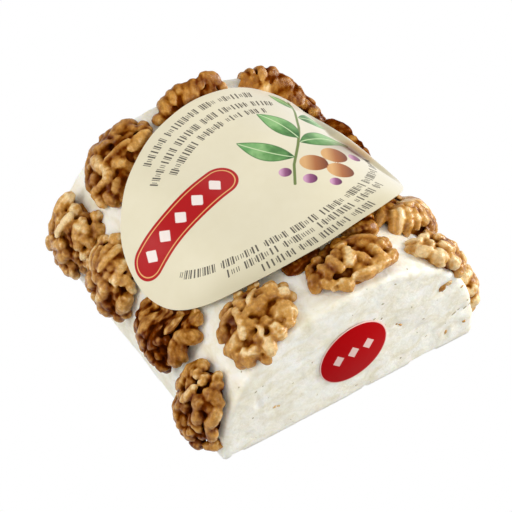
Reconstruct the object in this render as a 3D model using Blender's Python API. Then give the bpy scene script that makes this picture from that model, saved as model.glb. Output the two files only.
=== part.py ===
# Walnut processed cheese: a tunnel-shaped loaf set with walnut halves, an oval paper
# label laid over its top and a round paper seal on its front end.
# Metres, +Z up. X runs across the loaf and Y along it, with the front end at -Y.
# The origin is the middle of the flat base.

import bisect
import math

import bmesh
import bpy
from mathutils import Matrix, Vector

MM = 0.001

# Edges sharper than this stay crisp, on the cut pieces and on the kernels
SMOOTH_ANGLE = math.radians(40)
KERNEL_SMOOTH_ANGLE = math.radians(60)

# The loaf
LOAF_WIDTH = 120 * MM
LOAF_LENGTH = 129 * MM
LOAF_HEIGHT = 61 * MM
PROFILE_POWER = 2.4
PROFILE_STEPS = 22
OUTLINE_STEPS = 2000
EDGE_ROUNDING = 3.5 * MM
EDGE_SEGMENTS = 3
EDGE_ANGLE_LEAST = math.radians(45)

# Clear space between pieces that touch
GAP = 0.3 * MM

# The walnut halves
KERNEL_SEGMENTS = 24
KERNEL_RINGS = 9
UNDERSIDE_LIFT = 0.12
UNDERSIDE_TURN_IN = 3
CLEFT_DEPTH = 0.42
CLEFT_WIDTH = 0.16
CLEFT_REACH = 0.80
CLEFT_END_POWER = 4
FOLD_DEPTH = 0.16
SCALLOP_DEPTH = 0.055
DOME_POWER = 0.72

# The label, as an oval on the unrolled top of the loaf
LABEL_HALF_LENGTH = 65.0 * MM
LABEL_HALF_WIDTH_NEAR = 48.3 * MM
LABEL_HALF_WIDTH_FAR = 46.0 * MM
LABEL_EGG = 0.08
LABEL_TURN = math.radians(14.7)
LABEL_CENTRE = (1.8 * MM, 6.7 * MM)
LABEL_THICKNESS = 0.4 * MM
LABEL_RINGS = 5
LABEL_SEGMENTS = 48

# How high the label lies over the cheese: at its middle, and its rise or fall by the rim
LABEL_LIFT = 5.3 * MM
LABEL_RISE_RIGHT = 1.1 * MM
LABEL_RISE_BACK = -1.4 * MM
LABEL_TWIST = -4.8 * MM
LABEL_LIFT_LEAST = 1.0 * MM
LABEL_LIFT_SPAN = (60 * MM, 45 * MM)

# Room that a walnut keeps under the label, and how fast it may rise past the label's rim
UNDER_LABEL_ROOM = 1.1 * MM
UNDER_LABEL_MARGIN = 3.5 * MM
PAST_LABEL_SLOPE = 1.0
KERNEL_LEAST = 0.35 * MM

# The round seal on the front end
SEAL_RADIUS = 15.7 * MM
SEAL_CENTRE = (-0.5 * MM, 27.8 * MM)
SEAL_THICKNESS = 0.3 * MM
SEAL_SEGMENTS = 48

# Each walnut half: distance over the loaf from its crown, distance along the loaf, the turn
# of its long axis from across the loaf in degrees, its length, width and height in mm, and
# the number of folds round its rim
WALNUTS = {
    "walnut_left_1": (-79, -50, 0, 40, 28, 13.0, 7),
    "walnut_left_2": (-64.5, -19, 20, 37, 34, 13.0, 8),
    "walnut_left_3": (-71, 19, 10, 38, 29, 12.5, 7),
    "walnut_left_4": (-74.3, 49, 0, 40, 29, 12.0, 7),
    "walnut_shoulder_1": (-36.5, -50.5, 28, 37, 30, 10.0, 8),
    "walnut_shoulder_2": (-36, 48.5, 25, 38, 31, 10.5, 7),
    "walnut_crown_1": (6.5, -52, 0, 39, 24, 10.5, 7),
    "walnut_crown_2": (2, 54.5, 5, 35, 21, 11.0, 7),
    "walnut_crown_3": (41, 53, 0, 36, 24, 11.0, 7),
    "walnut_tucked_1": (-8.5, -35, 10, 19, 16, 7.5, 6),
    "walnut_tucked_2": (20.5, -34.8, -8, 18, 12.5, 8.0, 7),
    "walnut_right_1": (50, -55, 3, 32, 19, 10.0, 7),
    "walnut_right_2": (48, -32, 0, 38, 24, 12.5, 8),
    "walnut_right_3": (82, -50, 5, 28, 26, 10.0, 7),
    "walnut_right_4": (82, -13, 85, 32, 26, 8.0, 7),
    "walnut_right_5": (69, 27, 85, 28, 22, 12.5, 7),
    "walnut_right_6": (77.5, 53.5, 0, 34, 22, 9.5, 7),
}


def clear_scene():
    for item in list(bpy.data.objects):
        bpy.data.objects.remove(item, do_unlink=True)


def make_material(name, colour, roughness):
    material = bpy.data.materials.new(name)
    material.use_nodes = True
    shader = material.node_tree.nodes["Principled BSDF"]
    shader.inputs["Base Color"].default_value = (*colour, 1.0)
    shader.inputs["Roughness"].default_value = roughness
    shader.inputs["Metallic"].default_value = 0.0
    return material


def add_object(name, mesh_builder, material, smooth_angle=SMOOTH_ANGLE):
    mesh = bpy.data.meshes.new(name)
    mesh_builder.to_mesh(mesh)
    mesh_builder.free()
    mesh.materials.append(material)
    mesh.shade_smooth()
    mesh.set_sharp_from_angle(angle=smooth_angle)
    item = bpy.data.objects.new(name, mesh)
    bpy.context.scene.collection.objects.link(item)
    return item


# The loaf's outline

def outline_point(turn):
    """The cheese's arched outline at an angle from its right foot, 0, to its left foot, pi."""
    across = math.cos(turn)
    upward = math.sin(turn)
    x = math.copysign(abs(across) ** (2 / PROFILE_POWER), across) * LOAF_WIDTH / 2
    z = abs(upward) ** (2 / PROFILE_POWER) * LOAF_HEIGHT
    return x, z


def measure_outline(steps=OUTLINE_STEPS):
    """The outline walked from the crown to the right foot: distances, and the x and z there."""
    distances = [0.0]
    points = [(0.0, LOAF_HEIGHT)]
    for step in range(1, steps + 1):
        turn = math.pi / 2 * (1 - step / steps)
        point = outline_point(turn)
        last = points[-1]
        distances.append(distances[-1] + math.hypot(point[0] - last[0], point[1] - last[1]))
        points.append(point)
    return distances, points


OUTLINE_DISTANCES, OUTLINE_POINTS = measure_outline()
HALF_OUTLINE = OUTLINE_DISTANCES[-1]


def outline_at(distance):
    """Place on the outline at a distance from the crown, positive towards +X."""
    reach = min(abs(distance), HALF_OUTLINE)
    index = min(max(bisect.bisect_left(OUTLINE_DISTANCES, reach), 1), len(OUTLINE_POINTS) - 1)
    before = OUTLINE_DISTANCES[index - 1]
    share = (reach - before) / (OUTLINE_DISTANCES[index] - before)
    x0, z0 = OUTLINE_POINTS[index - 1]
    x1, z1 = OUTLINE_POINTS[index]
    return math.copysign(x0 + (x1 - x0) * share, distance), z0 + (z1 - z0) * share


def over_loaf(across, along, height):
    """A point at a height over the cheese, from its distances over and along the loaf."""
    x, z = outline_at(across)
    power = PROFILE_POWER - 1
    slope_x = math.copysign((abs(x) / (LOAF_WIDTH / 2)) ** power / (LOAF_WIDTH / 2), x)
    slope_z = (max(z, 0.0) / LOAF_HEIGHT) ** power / LOAF_HEIGHT
    size = math.hypot(slope_x, slope_z)
    return Vector((x + height * slope_x / size, along, z + height * slope_z / size))


# The label's outline and height

def label_share(across, along):
    """How far out a place is on the label: 0 at its middle, 1 at its rim, and the size there."""
    right = across - LABEL_CENTRE[0]
    back = along - LABEL_CENTRE[1]
    long_way = right * math.cos(LABEL_TURN) + back * math.sin(LABEL_TURN)
    cross_way = back * math.cos(LABEL_TURN) - right * math.sin(LABEL_TURN)
    half_width = LABEL_HALF_WIDTH_FAR if cross_way > 0 else LABEL_HALF_WIDTH_NEAR
    egg = 1 + LABEL_EGG * max(-1.0, min(1.0, long_way / LABEL_HALF_LENGTH))
    share = math.hypot(long_way / LABEL_HALF_LENGTH, cross_way / (half_width * egg))
    return share, math.hypot(long_way, cross_way)


def label_rim(angle, share):
    """A place on the label, from its angle round the oval and its share of the way out."""
    half_width = LABEL_HALF_WIDTH_FAR if math.sin(angle) > 0 else LABEL_HALF_WIDTH_NEAR
    long_way = LABEL_HALF_LENGTH * math.cos(angle) * share
    egg = 1 + LABEL_EGG * math.cos(angle) * share
    cross_way = half_width * egg * math.sin(angle) * share
    across = LABEL_CENTRE[0] + long_way * math.cos(LABEL_TURN) - cross_way * math.sin(LABEL_TURN)
    along = LABEL_CENTRE[1] + long_way * math.sin(LABEL_TURN) + cross_way * math.cos(LABEL_TURN)
    return across, along


def label_height(across, along):
    """Height of the label's underside over the cheese."""
    right = across / LABEL_LIFT_SPAN[0]
    back = along / LABEL_LIFT_SPAN[1]
    lift = LABEL_LIFT + LABEL_RISE_RIGHT * right + LABEL_RISE_BACK * back
    return max(LABEL_LIFT_LEAST, lift + LABEL_TWIST * right * back)


# The pieces

def make_cheese(material):
    """The loaf: its arched outline pushed along its length, with every long edge rounded."""
    builder = bmesh.new()
    ring = []
    for step in range(-PROFILE_STEPS, PROFILE_STEPS + 1):
        x, z = outline_at(HALF_OUTLINE * step / PROFILE_STEPS)
        ring.append(builder.verts.new((x, -LOAF_LENGTH / 2, z)))
    front = builder.faces.new(ring)
    pushed = bmesh.ops.extrude_face_region(builder, geom=[front])
    moved = [item for item in pushed["geom"] if isinstance(item, bmesh.types.BMVert)]
    bmesh.ops.translate(builder, verts=moved, vec=(0, LOAF_LENGTH, 0))
    bmesh.ops.recalc_face_normals(builder, faces=builder.faces)
    loaf = add_object("cheese", builder, material)
    rounding = loaf.modifiers.new("rounded edges", "BEVEL")
    rounding.width = EDGE_ROUNDING
    rounding.segments = EDGE_SEGMENTS
    rounding.limit_method = "ANGLE"
    rounding.angle_limit = EDGE_ANGLE_LEAST
    return loaf


def kernel_height(along_share, cross_share, upward, folds, phase):
    """Height share over a walnut half: a dome with a cleft down its middle and folds."""
    dome = upward ** DOME_POWER
    cleft_end = max(0.0, 1 - (abs(along_share) / CLEFT_REACH) ** CLEFT_END_POWER)
    cleft = CLEFT_DEPTH * cleft_end * math.exp(-(cross_share / CLEFT_WIDTH) ** 2)
    angle = math.atan2(cross_share, along_share)
    out = math.hypot(along_share, cross_share)
    fold = FOLD_DEPTH * out * out * math.cos(folds * angle + phase)
    return dome * (1 - cleft + fold)


def under_label_limit(across, along):
    """The greatest height that a walnut may have where the label lies over it."""
    share, reach = label_share(across, along)
    past = reach * (1 - 1 / share) - UNDER_LABEL_MARGIN if share > 1 else 0.0
    limit = max(KERNEL_LEAST, label_height(across, along) - UNDER_LABEL_ROOM)
    return limit + PAST_LABEL_SLOPE * max(0.0, past)


def make_walnut(name, place, material):
    """A walnut half lying on the loaf, its underside following the cheese."""
    across, along, heading, length, width, height, folds = place
    turn = math.radians(heading)
    phase = math.radians(heading * folds)
    builder = bmesh.new()
    bmesh.ops.create_uvsphere(
        builder, u_segments=KERNEL_SEGMENTS, v_segments=KERNEL_RINGS, radius=1.0)
    for vert in builder.verts:
        x, y, z = vert.co
        rim = 1 + SCALLOP_DEPTH * math.hypot(x, y) * math.cos(folds * math.atan2(y, x) + phase)
        long_way = x * rim * length / 2
        cross_way = y * rim * width / 2
        place_across = across + long_way * math.cos(turn) - cross_way * math.sin(turn)
        place_along = along + long_way * math.sin(turn) + cross_way * math.cos(turn)
        place_across *= MM
        place_along *= MM
        base = UNDERSIDE_LIFT * max(0.0, 1 + z * UNDERSIDE_TURN_IN)
        limit = under_label_limit(place_across, place_along)
        if z < 0:
            rise = min(base * height * MM, limit - KERNEL_LEAST)
        else:
            top = kernel_height(x, y, z, folds, phase) * (1 - UNDERSIDE_LIFT)
            rise = min((UNDERSIDE_LIFT + top) * height * MM, limit)
        vert.co = over_loaf(place_across, place_along, GAP + rise)
    return add_object(name, builder, material, KERNEL_SMOOTH_ANGLE)


def make_label(material):
    """The paper oval, draped over the loaf and the walnuts round it."""
    builder = bmesh.new()
    middle = builder.verts.new(over_loaf(*LABEL_CENTRE, label_height(*LABEL_CENTRE)))
    rings = []
    for ring in range(1, LABEL_RINGS + 1):
        verts = []
        for segment in range(LABEL_SEGMENTS):
            place = label_rim(2 * math.pi * segment / LABEL_SEGMENTS, ring / LABEL_RINGS)
            verts.append(builder.verts.new(over_loaf(*place, label_height(*place))))
        rings.append(verts)
    for segment in range(LABEL_SEGMENTS):
        after = (segment + 1) % LABEL_SEGMENTS
        builder.faces.new((middle, rings[0][segment], rings[0][after]))
        for inner, outer in zip(rings, rings[1:]):
            builder.faces.new((inner[segment], outer[segment], outer[after], inner[after]))
    bmesh.ops.triangulate(builder, faces=builder.faces)
    bmesh.ops.recalc_face_normals(builder, faces=builder.faces)
    if middle.link_faces[0].normal.z < 0:
        bmesh.ops.reverse_faces(builder, faces=builder.faces)
    label = add_object("label", builder, material)
    paper = label.modifiers.new("paper thickness", "SOLIDIFY")
    paper.thickness = LABEL_THICKNESS
    paper.offset = 1.0
    return label


def make_seal(material):
    """The round paper seal, flat against the front end."""
    builder = bmesh.new()
    bmesh.ops.create_cone(
        builder, cap_ends=True, cap_tris=False, segments=SEAL_SEGMENTS,
        radius1=SEAL_RADIUS, radius2=SEAL_RADIUS, depth=SEAL_THICKNESS,
        matrix=Matrix.Rotation(math.pi / 2, 4, "X"))
    seal = add_object("sticker", builder, material)
    front = -LOAF_LENGTH / 2 - GAP - SEAL_THICKNESS / 2
    seal.location = (SEAL_CENTRE[0], front, SEAL_CENTRE[1])
    return seal


def main():
    clear_scene()
    cheese = make_material("processed cheese", (0.86, 0.81, 0.66), 0.50)
    kernel = make_material("walnut kernel", (0.44, 0.22, 0.07), 0.50)
    paper = make_material("printed cream paper", (0.75, 0.69, 0.53), 0.55)
    seal_paper = make_material("red seal paper", (0.53, 0.01, 0.01), 0.40)
    make_cheese(cheese)
    for name, place in WALNUTS.items():
        make_walnut(name, place, kernel)
    make_label(paper)
    make_seal(seal_paper)


main()
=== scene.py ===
# Walnut processed cheese: the looks of the loaf, its walnut halves, paper label and seal.
# Metres, +Z up, the loaf lying along Y with its front end at -Y.
import math
import random

import bmesh
import bpy
import numpy as np
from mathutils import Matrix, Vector, kdtree, noise


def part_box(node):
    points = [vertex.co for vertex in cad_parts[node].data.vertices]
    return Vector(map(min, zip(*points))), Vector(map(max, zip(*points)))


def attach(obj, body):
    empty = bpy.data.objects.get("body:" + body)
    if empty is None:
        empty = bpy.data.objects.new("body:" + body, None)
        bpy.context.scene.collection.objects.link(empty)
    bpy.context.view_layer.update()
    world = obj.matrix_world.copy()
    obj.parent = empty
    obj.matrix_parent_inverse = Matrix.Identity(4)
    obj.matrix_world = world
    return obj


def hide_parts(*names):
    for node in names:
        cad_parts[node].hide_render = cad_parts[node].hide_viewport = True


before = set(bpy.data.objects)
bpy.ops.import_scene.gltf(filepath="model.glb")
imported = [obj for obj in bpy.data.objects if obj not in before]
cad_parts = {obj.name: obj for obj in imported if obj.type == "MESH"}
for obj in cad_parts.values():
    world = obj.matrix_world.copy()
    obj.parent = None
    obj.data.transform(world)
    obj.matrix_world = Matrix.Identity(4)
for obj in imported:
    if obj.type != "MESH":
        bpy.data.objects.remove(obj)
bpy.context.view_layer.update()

mm = 0.001
print("frame loaded:", len(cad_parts), "nodes")


# Small helpers

def deselectAll():
    if bpy.context.object and bpy.context.object.mode != "OBJECT":
        bpy.ops.object.mode_set(mode="OBJECT")
    bpy.ops.object.select_all(action="DESELECT")


def pickOnly(*pieces):
    deselectAll()
    for piece in pieces:
        piece.select_set(True)
    bpy.context.view_layer.objects.active = pieces[0]


def applyModifier(piece, kind, **settings):
    # adds a modifier and applies it straight away
    pickOnly(piece)
    modifier = piece.modifiers.new(kind.lower(), kind)
    for key, value in settings.items():
        setattr(modifier, key, value)
    bpy.ops.object.modifier_apply(modifier=modifier.name)


def copyOf(pattern):
    piece = pattern.copy()
    piece.data = pattern.data.copy()
    bpy.context.collection.objects.link(piece)
    return piece


def joinPieces(pieces):
    pickOnly(*pieces)
    bpy.ops.object.join()
    return bpy.context.object


def applyRelief(piece, name, noiseType, size, depth, middle, detail):
    # raises and lowers a surface by a cloudy noise
    relief = bpy.data.textures.new(name, "CLOUDS")
    relief.noise_type = noiseType
    relief.noise_scale = size
    relief.noise_depth = detail
    applyModifier(piece, "DISPLACE", texture=relief, strength=depth, mid_level=middle)


def bakePlace(piece):
    pickOnly(piece)
    bpy.ops.object.transform_apply(location=True, rotation=True, scale=True)


def readVectors(mesh, what):
    flat = np.empty(len(mesh.vertices) * 3, dtype=np.float32)
    mesh.vertices.foreach_get(what, flat)
    return flat.reshape(-1, 3).astype(float)


def readPoints(mesh):
    return readVectors(mesh, "co")


def readNormals(mesh):
    return readVectors(mesh, "normal")


def writePoints(mesh, points):
    mesh.vertices.foreach_set("co", np.asarray(points, dtype=np.float32).ravel())
    mesh.update()


def smoothStep(share):
    return share * share * (3 - 2 * share)


def bell(distance, power=2):
    # 1 in the middle, falling away on both sides
    return np.exp(-np.abs(distance) ** power)


def keepLargest(mesh):
    # drops the tiny closed bubbles that a voxel remesh leaves inside a solid
    form = bmesh.new()
    form.from_mesh(mesh)
    left, groups = set(form.verts), []
    while left:
        group, reached = set(), [left.pop()]
        while reached:
            point = reached.pop()
            group.add(point)
            near = {edge.other_vert(point) for edge in point.link_edges} & left
            left -= near
            reached.extend(near)
        groups.append(group)
    groups.sort(key=len)
    bmesh.ops.delete(form, geom=[point for group in groups[:-1] for point in group], context="VERTS")
    form.to_mesh(mesh)
    form.free()
    mesh.update()


def storeShade(mesh, name, values):
    # one number for each point, which the material reads by name
    layer = mesh.attributes.new(name, "FLOAT", "POINT")
    layer.data.foreach_set("value", np.asarray(values, dtype=np.float32))


def finishPiece(piece, name, material, slot, *nodes):
    piece.name = name
    piece.data.name = name
    piece.data.materials.clear()
    piece.data.materials.append(material)
    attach(piece, "root")
    if nodes:
        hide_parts(*nodes)
    return piece


# The loaf's outline and the label's frame, as the CAD has them

loaf = {
    "outlinePower": 2.4,      # how square the arch is
    "edgeRounding": 3.5 * mm,
    "outlineSteps": 2000,
}
cheeseLow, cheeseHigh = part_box("cheese")
loafWidth = cheeseHigh.x - cheeseLow.x
loafLength = cheeseHigh.y - cheeseLow.y
loafHeight = cheeseHigh.z - cheeseLow.z


def measureOutline():
    # the arch from the crown to the right foot: how far over it, and x and z there
    turn = np.linspace(math.pi / 2, 0, loaf["outlineSteps"] + 1)
    x = np.abs(np.cos(turn)) ** (2 / loaf["outlinePower"]) * loafWidth / 2
    z = np.abs(np.sin(turn)) ** (2 / loaf["outlinePower"]) * loafHeight
    x[0], z[-1] = 0.0, 0.0
    steps = np.hypot(np.diff(x), np.diff(z))
    return np.concatenate([[0.0], np.cumsum(steps)]), x, z


outlineWalk, outlineX, outlineZ = measureOutline()
halfOutline = outlineWalk[-1]


def overLoaf(across, along, height):
    # places at a height over the cheese, from their distances over and along the loaf
    reach = np.minimum(np.abs(across), halfOutline)
    side = np.sign(across)
    x = np.interp(reach, outlineWalk, outlineX)
    z = np.interp(reach, outlineWalk, outlineZ)
    power = loaf["outlinePower"] - 1
    slopeX = (x / (loafWidth / 2)) ** power / (loafWidth / 2)
    slopeZ = (z / loafHeight) ** power / loafHeight
    size = np.hypot(slopeX, slopeZ)
    return np.stack([side * (x + height * slopeX / size),
                     along + np.zeros_like(x),
                     z + height * slopeZ / size], axis=-1)


label = {
    "halfLength": 65.0 * mm,
    "halfWidthNear": 48.3 * mm,
    "halfWidthFar": 46.0 * mm,
    "egg": 0.08,                       # how much wider than its middle the right end is
    "turn": math.radians(14.7),
    "centre": (1.8 * mm, 6.7 * mm),    # over the loaf and along it
    "lift": 5.3 * mm,                  # its height over the cheese in the middle of the loaf
    "liftRight": 1.1 * mm,             # and how much more it is a span away
    "liftBack": -1.4 * mm,
    "liftTwist": -4.8 * mm,
    "liftLeast": 1.0 * mm,
    "liftSpan": (60 * mm, 45 * mm),
    "thickness": 0.25 * mm,
    "gridCells": (190, 150),
}


def labelFrame(across, along):
    # a place over the loaf in the label's own long and cross ways
    right = across - label["centre"][0]
    back = along - label["centre"][1]
    longWay = right * math.cos(label["turn"]) + back * math.sin(label["turn"])
    crossWay = back * math.cos(label["turn"]) - right * math.sin(label["turn"])
    return longWay, crossWay


def labelPlace(longWay, crossWay):
    across = label["centre"][0] + longWay * math.cos(label["turn"]) - crossWay * math.sin(label["turn"])
    along = label["centre"][1] + longWay * math.sin(label["turn"]) + crossWay * math.cos(label["turn"])
    return across, along


def labelShare(longWay, crossWay):
    # 0 at the label's middle and 1 at its rim
    halfWidth = np.where(crossWay > 0, label["halfWidthFar"], label["halfWidthNear"])
    egg = 1 + label["egg"] * np.clip(longWay / label["halfLength"], -1, 1)
    return np.hypot(longWay / label["halfLength"], crossWay / (halfWidth * egg))


def labelHeight(across, along):
    # height of the label's underside over the cheese
    right = across / label["liftSpan"][0]
    back = along / label["liftSpan"][1]
    lift = label["lift"] + label["liftRight"] * right + label["liftBack"] * back
    return np.maximum(label["liftLeast"], lift + label["liftTwist"] * right * back)


# Material helpers

def paint(code):
    # an sRGB hex colour as the linear colour that the shader takes
    parts = [int(code[i:i + 2], 16) / 255 for i in (1, 3, 5)]
    return tuple(c / 12.92 if c <= 0.04045 else ((c + 0.055) / 1.055) ** 2.4 for c in parts) + (1.0,)


def fillSocket(tree, socket, value):
    # the value is a plain one, a hex colour or another node's output
    if isinstance(value, bpy.types.NodeSocket):
        tree.links.new(value, socket)
    else:
        socket.default_value = paint(value) if isinstance(value, str) else value


def addNode(tree, kind, inputs=None, output=0, stops=(), **settings):
    # adds a node with its settings and links, and gives the output that is asked for
    node = tree.nodes.new("ShaderNode" + kind)
    for key, value in settings.items():
        setattr(node, key, value)
    for key, value in (inputs or {}).items():
        fillSocket(tree, node.inputs[key], value)
    if stops:
        ramp = node.color_ramp.elements
        ramp.remove(ramp[-1])
        ramp[0].position, ramp[0].color = stops[0][0], paint(stops[0][1])
        for position, code in stops[1:]:
            ramp.new(position).color = paint(code)
    return node.outputs[output]


def fillShader(material, finish):
    # the shader's own sockets
    shader = material.node_tree.nodes["Principled BSDF"]
    for key, value in finish.items():
        fillSocket(material.node_tree, shader.inputs[key], value)
    return material


def startMaterial(name, finish):
    # a new material with the plain values of its shader
    material = bpy.data.materials.new(name)
    material.use_nodes = True
    fillShader(material, finish)
    return material, material.node_tree


mixShare, mixBelow, mixAbove, mixOut = 0, 6, 7, 2     # the sockets that a Mix node has for colours
gradual = (0.5, 0.5)                                  # edge and softness for shades from 0 to 1


def printOver(tree, below, above, depth, edge=0.0, softness=0.12):
    # one ink over another, where the depth is past a soft edge
    share = addNode(tree, "MapRange", {"Value": depth, "From Min": edge - softness,
                                       "From Max": edge + softness})
    return addNode(tree, "Mix", {mixShare: share, mixBelow: below, mixAbove: above}, mixOut,
                   data_type="RGBA")


# Camera, light and floor

cameraSetup = {
    "azimuth": -33.2,
    "elevation": 47.7,
    "distance": 840 * mm,
    "target": (0.0, 0.0, 30 * mm),
    "lens": 146.8,                 # in mm, as the sensor
    "sensor": 36,
    "shift": (-0.0121, -0.0246),   # the loaf stands a little right of and above the middle
}
lights = {
    # azimuth, elevation, distance, size, power
    "keyAbove": (30, 64, 0.80, 0.25, 0.15),
    "windowRight": (75, 12, 0.90, 0.45, 7.4),
    "backHigh": (160, 50, 0.90, 0.45, 0.4),
    "frontFill": (-5, 20, 0.95, 0.45, 2.0),
    "windowLeft": (-105, 36, 0.75, 0.30, 1.3),
    "windowLeftLow": (-95, 8, 0.90, 0.45, 1.6),
}
room = {"below": 0.32, "above": 0.64, "horizon": 0.4}    # its light, and half the height it grows over


def aimAtLoaf(azimuth, elevation, distance):
    # where a thing stands that looks at the loaf from that side, and how it is turned
    a, e = math.radians(azimuth), math.radians(elevation)
    away = Vector((math.sin(a) * math.cos(e), -math.cos(a) * math.cos(e), math.sin(e)))
    turn = (-away).to_track_quat("-Z", "Y").to_euler()
    return Vector(cameraSetup["target"]) + away * distance, turn


def makeCamera():
    place, turn = aimAtLoaf(cameraSetup["azimuth"], cameraSetup["elevation"], cameraSetup["distance"])
    bpy.ops.object.camera_add(location=place, rotation=turn)
    camera = bpy.context.object
    camera.data.lens = cameraSetup["lens"]
    camera.data.sensor_width = cameraSetup["sensor"]
    camera.data.shift_x, camera.data.shift_y = cameraSetup["shift"]
    bpy.context.scene.camera = camera


def makeLights():
    for name, (azimuth, elevation, distance, size, power) in lights.items():
        place, turn = aimAtLoaf(azimuth, elevation, distance)
        bpy.ops.object.light_add(type="AREA", location=place, rotation=turn)
        light = bpy.context.object
        light.name = name
        light.data.shape = "DISK"
        light.data.size = size
        light.data.energy = power


def makeRoom():
    # an even white room, darker below, where the table takes the light away
    world = bpy.data.worlds.new("studioRoom")
    bpy.context.scene.world = world
    world.use_nodes = True
    tree = world.node_tree
    way = addNode(tree, "TexCoord", output="Generated")
    level = addNode(tree, "MapRange", {
        "Value": addNode(tree, "SeparateXYZ", {"Vector": way}, "Z"), "From Min": -room["horizon"],
        "From Max": room["horizon"], "To Min": room["below"], "To Max": room["above"]})
    fillSocket(tree, tree.nodes["Background"].inputs["Strength"], level)
    fillSocket(tree, tree.nodes["Background"].inputs["Color"], "#FFFFFF")
    bpy.context.scene.view_settings.view_transform = "Standard"


def makeFloor():
    bpy.ops.mesh.primitive_plane_add(size=6.0, location=(0, 0, -0.3 * mm))
    floor = bpy.context.object
    floor.name = "studioFloor"
    # translucent white board lit from below, so that it shows no shadow
    material, _ = startMaterial("litWhiteBoard", {"Base Color": "#000000", "Specular IOR Level": 0.0,
                                                  "Emission Color": "#FFFFFF", "Emission Strength": 1.0})
    floor.data.materials.append(material)
    floor.visible_diffuse = False      # it shows white but adds no light of its own


makeCamera()
makeLights()
makeRoom()
makeFloor()
print("camera, light and floor made")


# The cheese

cheeseLook = {
    "voxel": 0.95 * mm,
    "broadRelief": (15 * mm, 1.0 * mm),    # size and depth of the slow unevenness
    "smearRelief": (5.0 * mm, 0.42 * mm),
    "pits": 90,
    "pitRadius": (0.8 * mm, 2.0 * mm),
    "pitDepth": (0.15 * mm, 0.5 * mm),
    "outlineCells": 64,                    # on each side of the crown
    "frontReach": 2.5 * mm,                # how far back from the front end its dents take hold
    "dentPower": 1.5,
    "flatFoot": 0.8 * mm,                  # what lies lower than this is the flat base
    "tones": [(0.28, "#E5DDC0"), (0.42, "#F0EAD6"), (0.54, "#F8F4E6"), (0.72, "#FCFAF1")],
    "fleckTone": "#CFC6A8",
    "marbling": 7 * mm,                    # how wide the clouds, the curds and the grain are
    "curds": 3.1 * mm,
    "grain": 1.5 * mm,
    "grainDepth": 0.5 * mm,
}

# dents in the front end: across, up, half width, half height, turn in degrees and depth, in mm
frontDents = [
    (43.0, 37.5, 4.2, 3.2, 10, 0.8), (50.5, 18.4, 3.4, 0.9, 20, 0.7), (55.0, 16.8, 3.0, 0.9, 30, 0.5),
    (46.1, 8.2, 1.5, 2.6, -15, 0.7), (51.0, 10.5, 3.0, 2.6, 0, 0.5), (21.4, 29.3, 2.6, 1.3, -40, 0.6),
    (-35.9, 17.8, 2.0, 1.5, 0, 0.5), (38.0, 14.0, 5.0, 1.0, 12, 0.6), (30.0, 21.0, 6.0, 0.9, 8, 0.5),
    (-20.0, 38.0, 7.0, 1.2, 14, 0.5), (-44.0, 26.0, 1.2, 5.0, 10, 0.5), (5.0, 47.0, 6.0, 1.1, 10, 0.4),
    (54.0, 25.0, 2.6, 1.2, 15, 0.4), (36.0, 47.0, 4.0, 1.0, -12, 0.5), (-50.0, 9.0, 3.4, 1.3, 25, 0.6),
]


def cheeseMaterial():
    # Processed cheese, melted and pressed in a mould: a dense, slightly translucent cream
    # paste with a soft shine, faint curd marbling and drawn-out smears from the wrapper.
    material, tree = startMaterial("pressedCreamCheese", {
        "Roughness": 0.45, "IOR": 1.45, "Subsurface Weight": 0.30,
        "Subsurface Radius": (1.0, 0.8, 0.5), "Subsurface Scale": 2.0 * mm})
    place = addNode(tree, "TexCoord", output="Object")
    drawn = addNode(tree, "Mapping", {"Vector": place, "Rotation": (0.0, 0.5, 0.2),
                                      "Scale": (0.8, 0.8, 1.15)})
    marbling = addNode(tree, "TexNoise", {"Vector": drawn, "Scale": 1 / cheeseLook["marbling"], "Detail": 6.0,
                                          "Roughness": 0.62, "Distortion": 0.6})
    tones = addNode(tree, "ValToRGB", {"Fac": marbling}, stops=cheeseLook["tones"])
    curds = addNode(tree, "TexNoise", {"Vector": place, "Scale": 1 / cheeseLook["curds"], "Detail": 5.0,
                                       "Roughness": 0.7})
    flecks = addNode(tree, "MapRange", {"Value": curds, "From Min": 0.60, "From Max": 0.80, "To Max": 0.55})
    paste = addNode(tree, "Mix", {mixShare: flecks, mixBelow: tones, mixAbove: cheeseLook["fleckTone"]},
                    mixOut, data_type="RGBA")
    grain = addNode(tree, "TexNoise", {"Vector": drawn, "Scale": 1 / cheeseLook["grain"], "Detail": 6.0,
                                       "Roughness": 0.6})
    bump = addNode(tree, "Bump", {"Height": grain, "Strength": 0.75, "Distance": cheeseLook["grainDepth"]})
    return fillShader(material, {"Base Color": paste, "Normal": bump})


def pressDents(mesh):
    # listed dents in the front end and small chance pits all over
    points, normals = readPoints(mesh), readNormals(mesh)
    front = points[:, 1] < -loafLength / 2 + cheeseLook["frontReach"]
    for across, up, halfWide, halfTall, turn, depth in frontDents:
        right, rise = points[:, 0] / mm - across, points[:, 2] / mm - up
        c, s = math.cos(math.radians(turn)), math.sin(math.radians(turn))
        out = ((right * c + rise * s) / halfWide) ** 2 + ((rise * c - right * s) / halfTall) ** 2
        points[:, 1] += np.where(front, depth * mm * bell(out, cheeseLook["dentPower"]), 0)
    draw = random.Random("cheese pits")
    for _ in range(cheeseLook["pits"]):
        centre = points[draw.randrange(len(points))]
        radius, depth = draw.uniform(*cheeseLook["pitRadius"]), draw.uniform(*cheeseLook["pitDepth"])
        away = np.linalg.norm(points - centre, axis=1) / radius
        points -= normals * (depth * bell(away))[:, None]
    points[:, 2] = np.maximum(points[:, 2], 0.0)
    points[points[:, 2] < cheeseLook["flatFoot"], 2] = 0.0
    writePoints(mesh, points)


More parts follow.
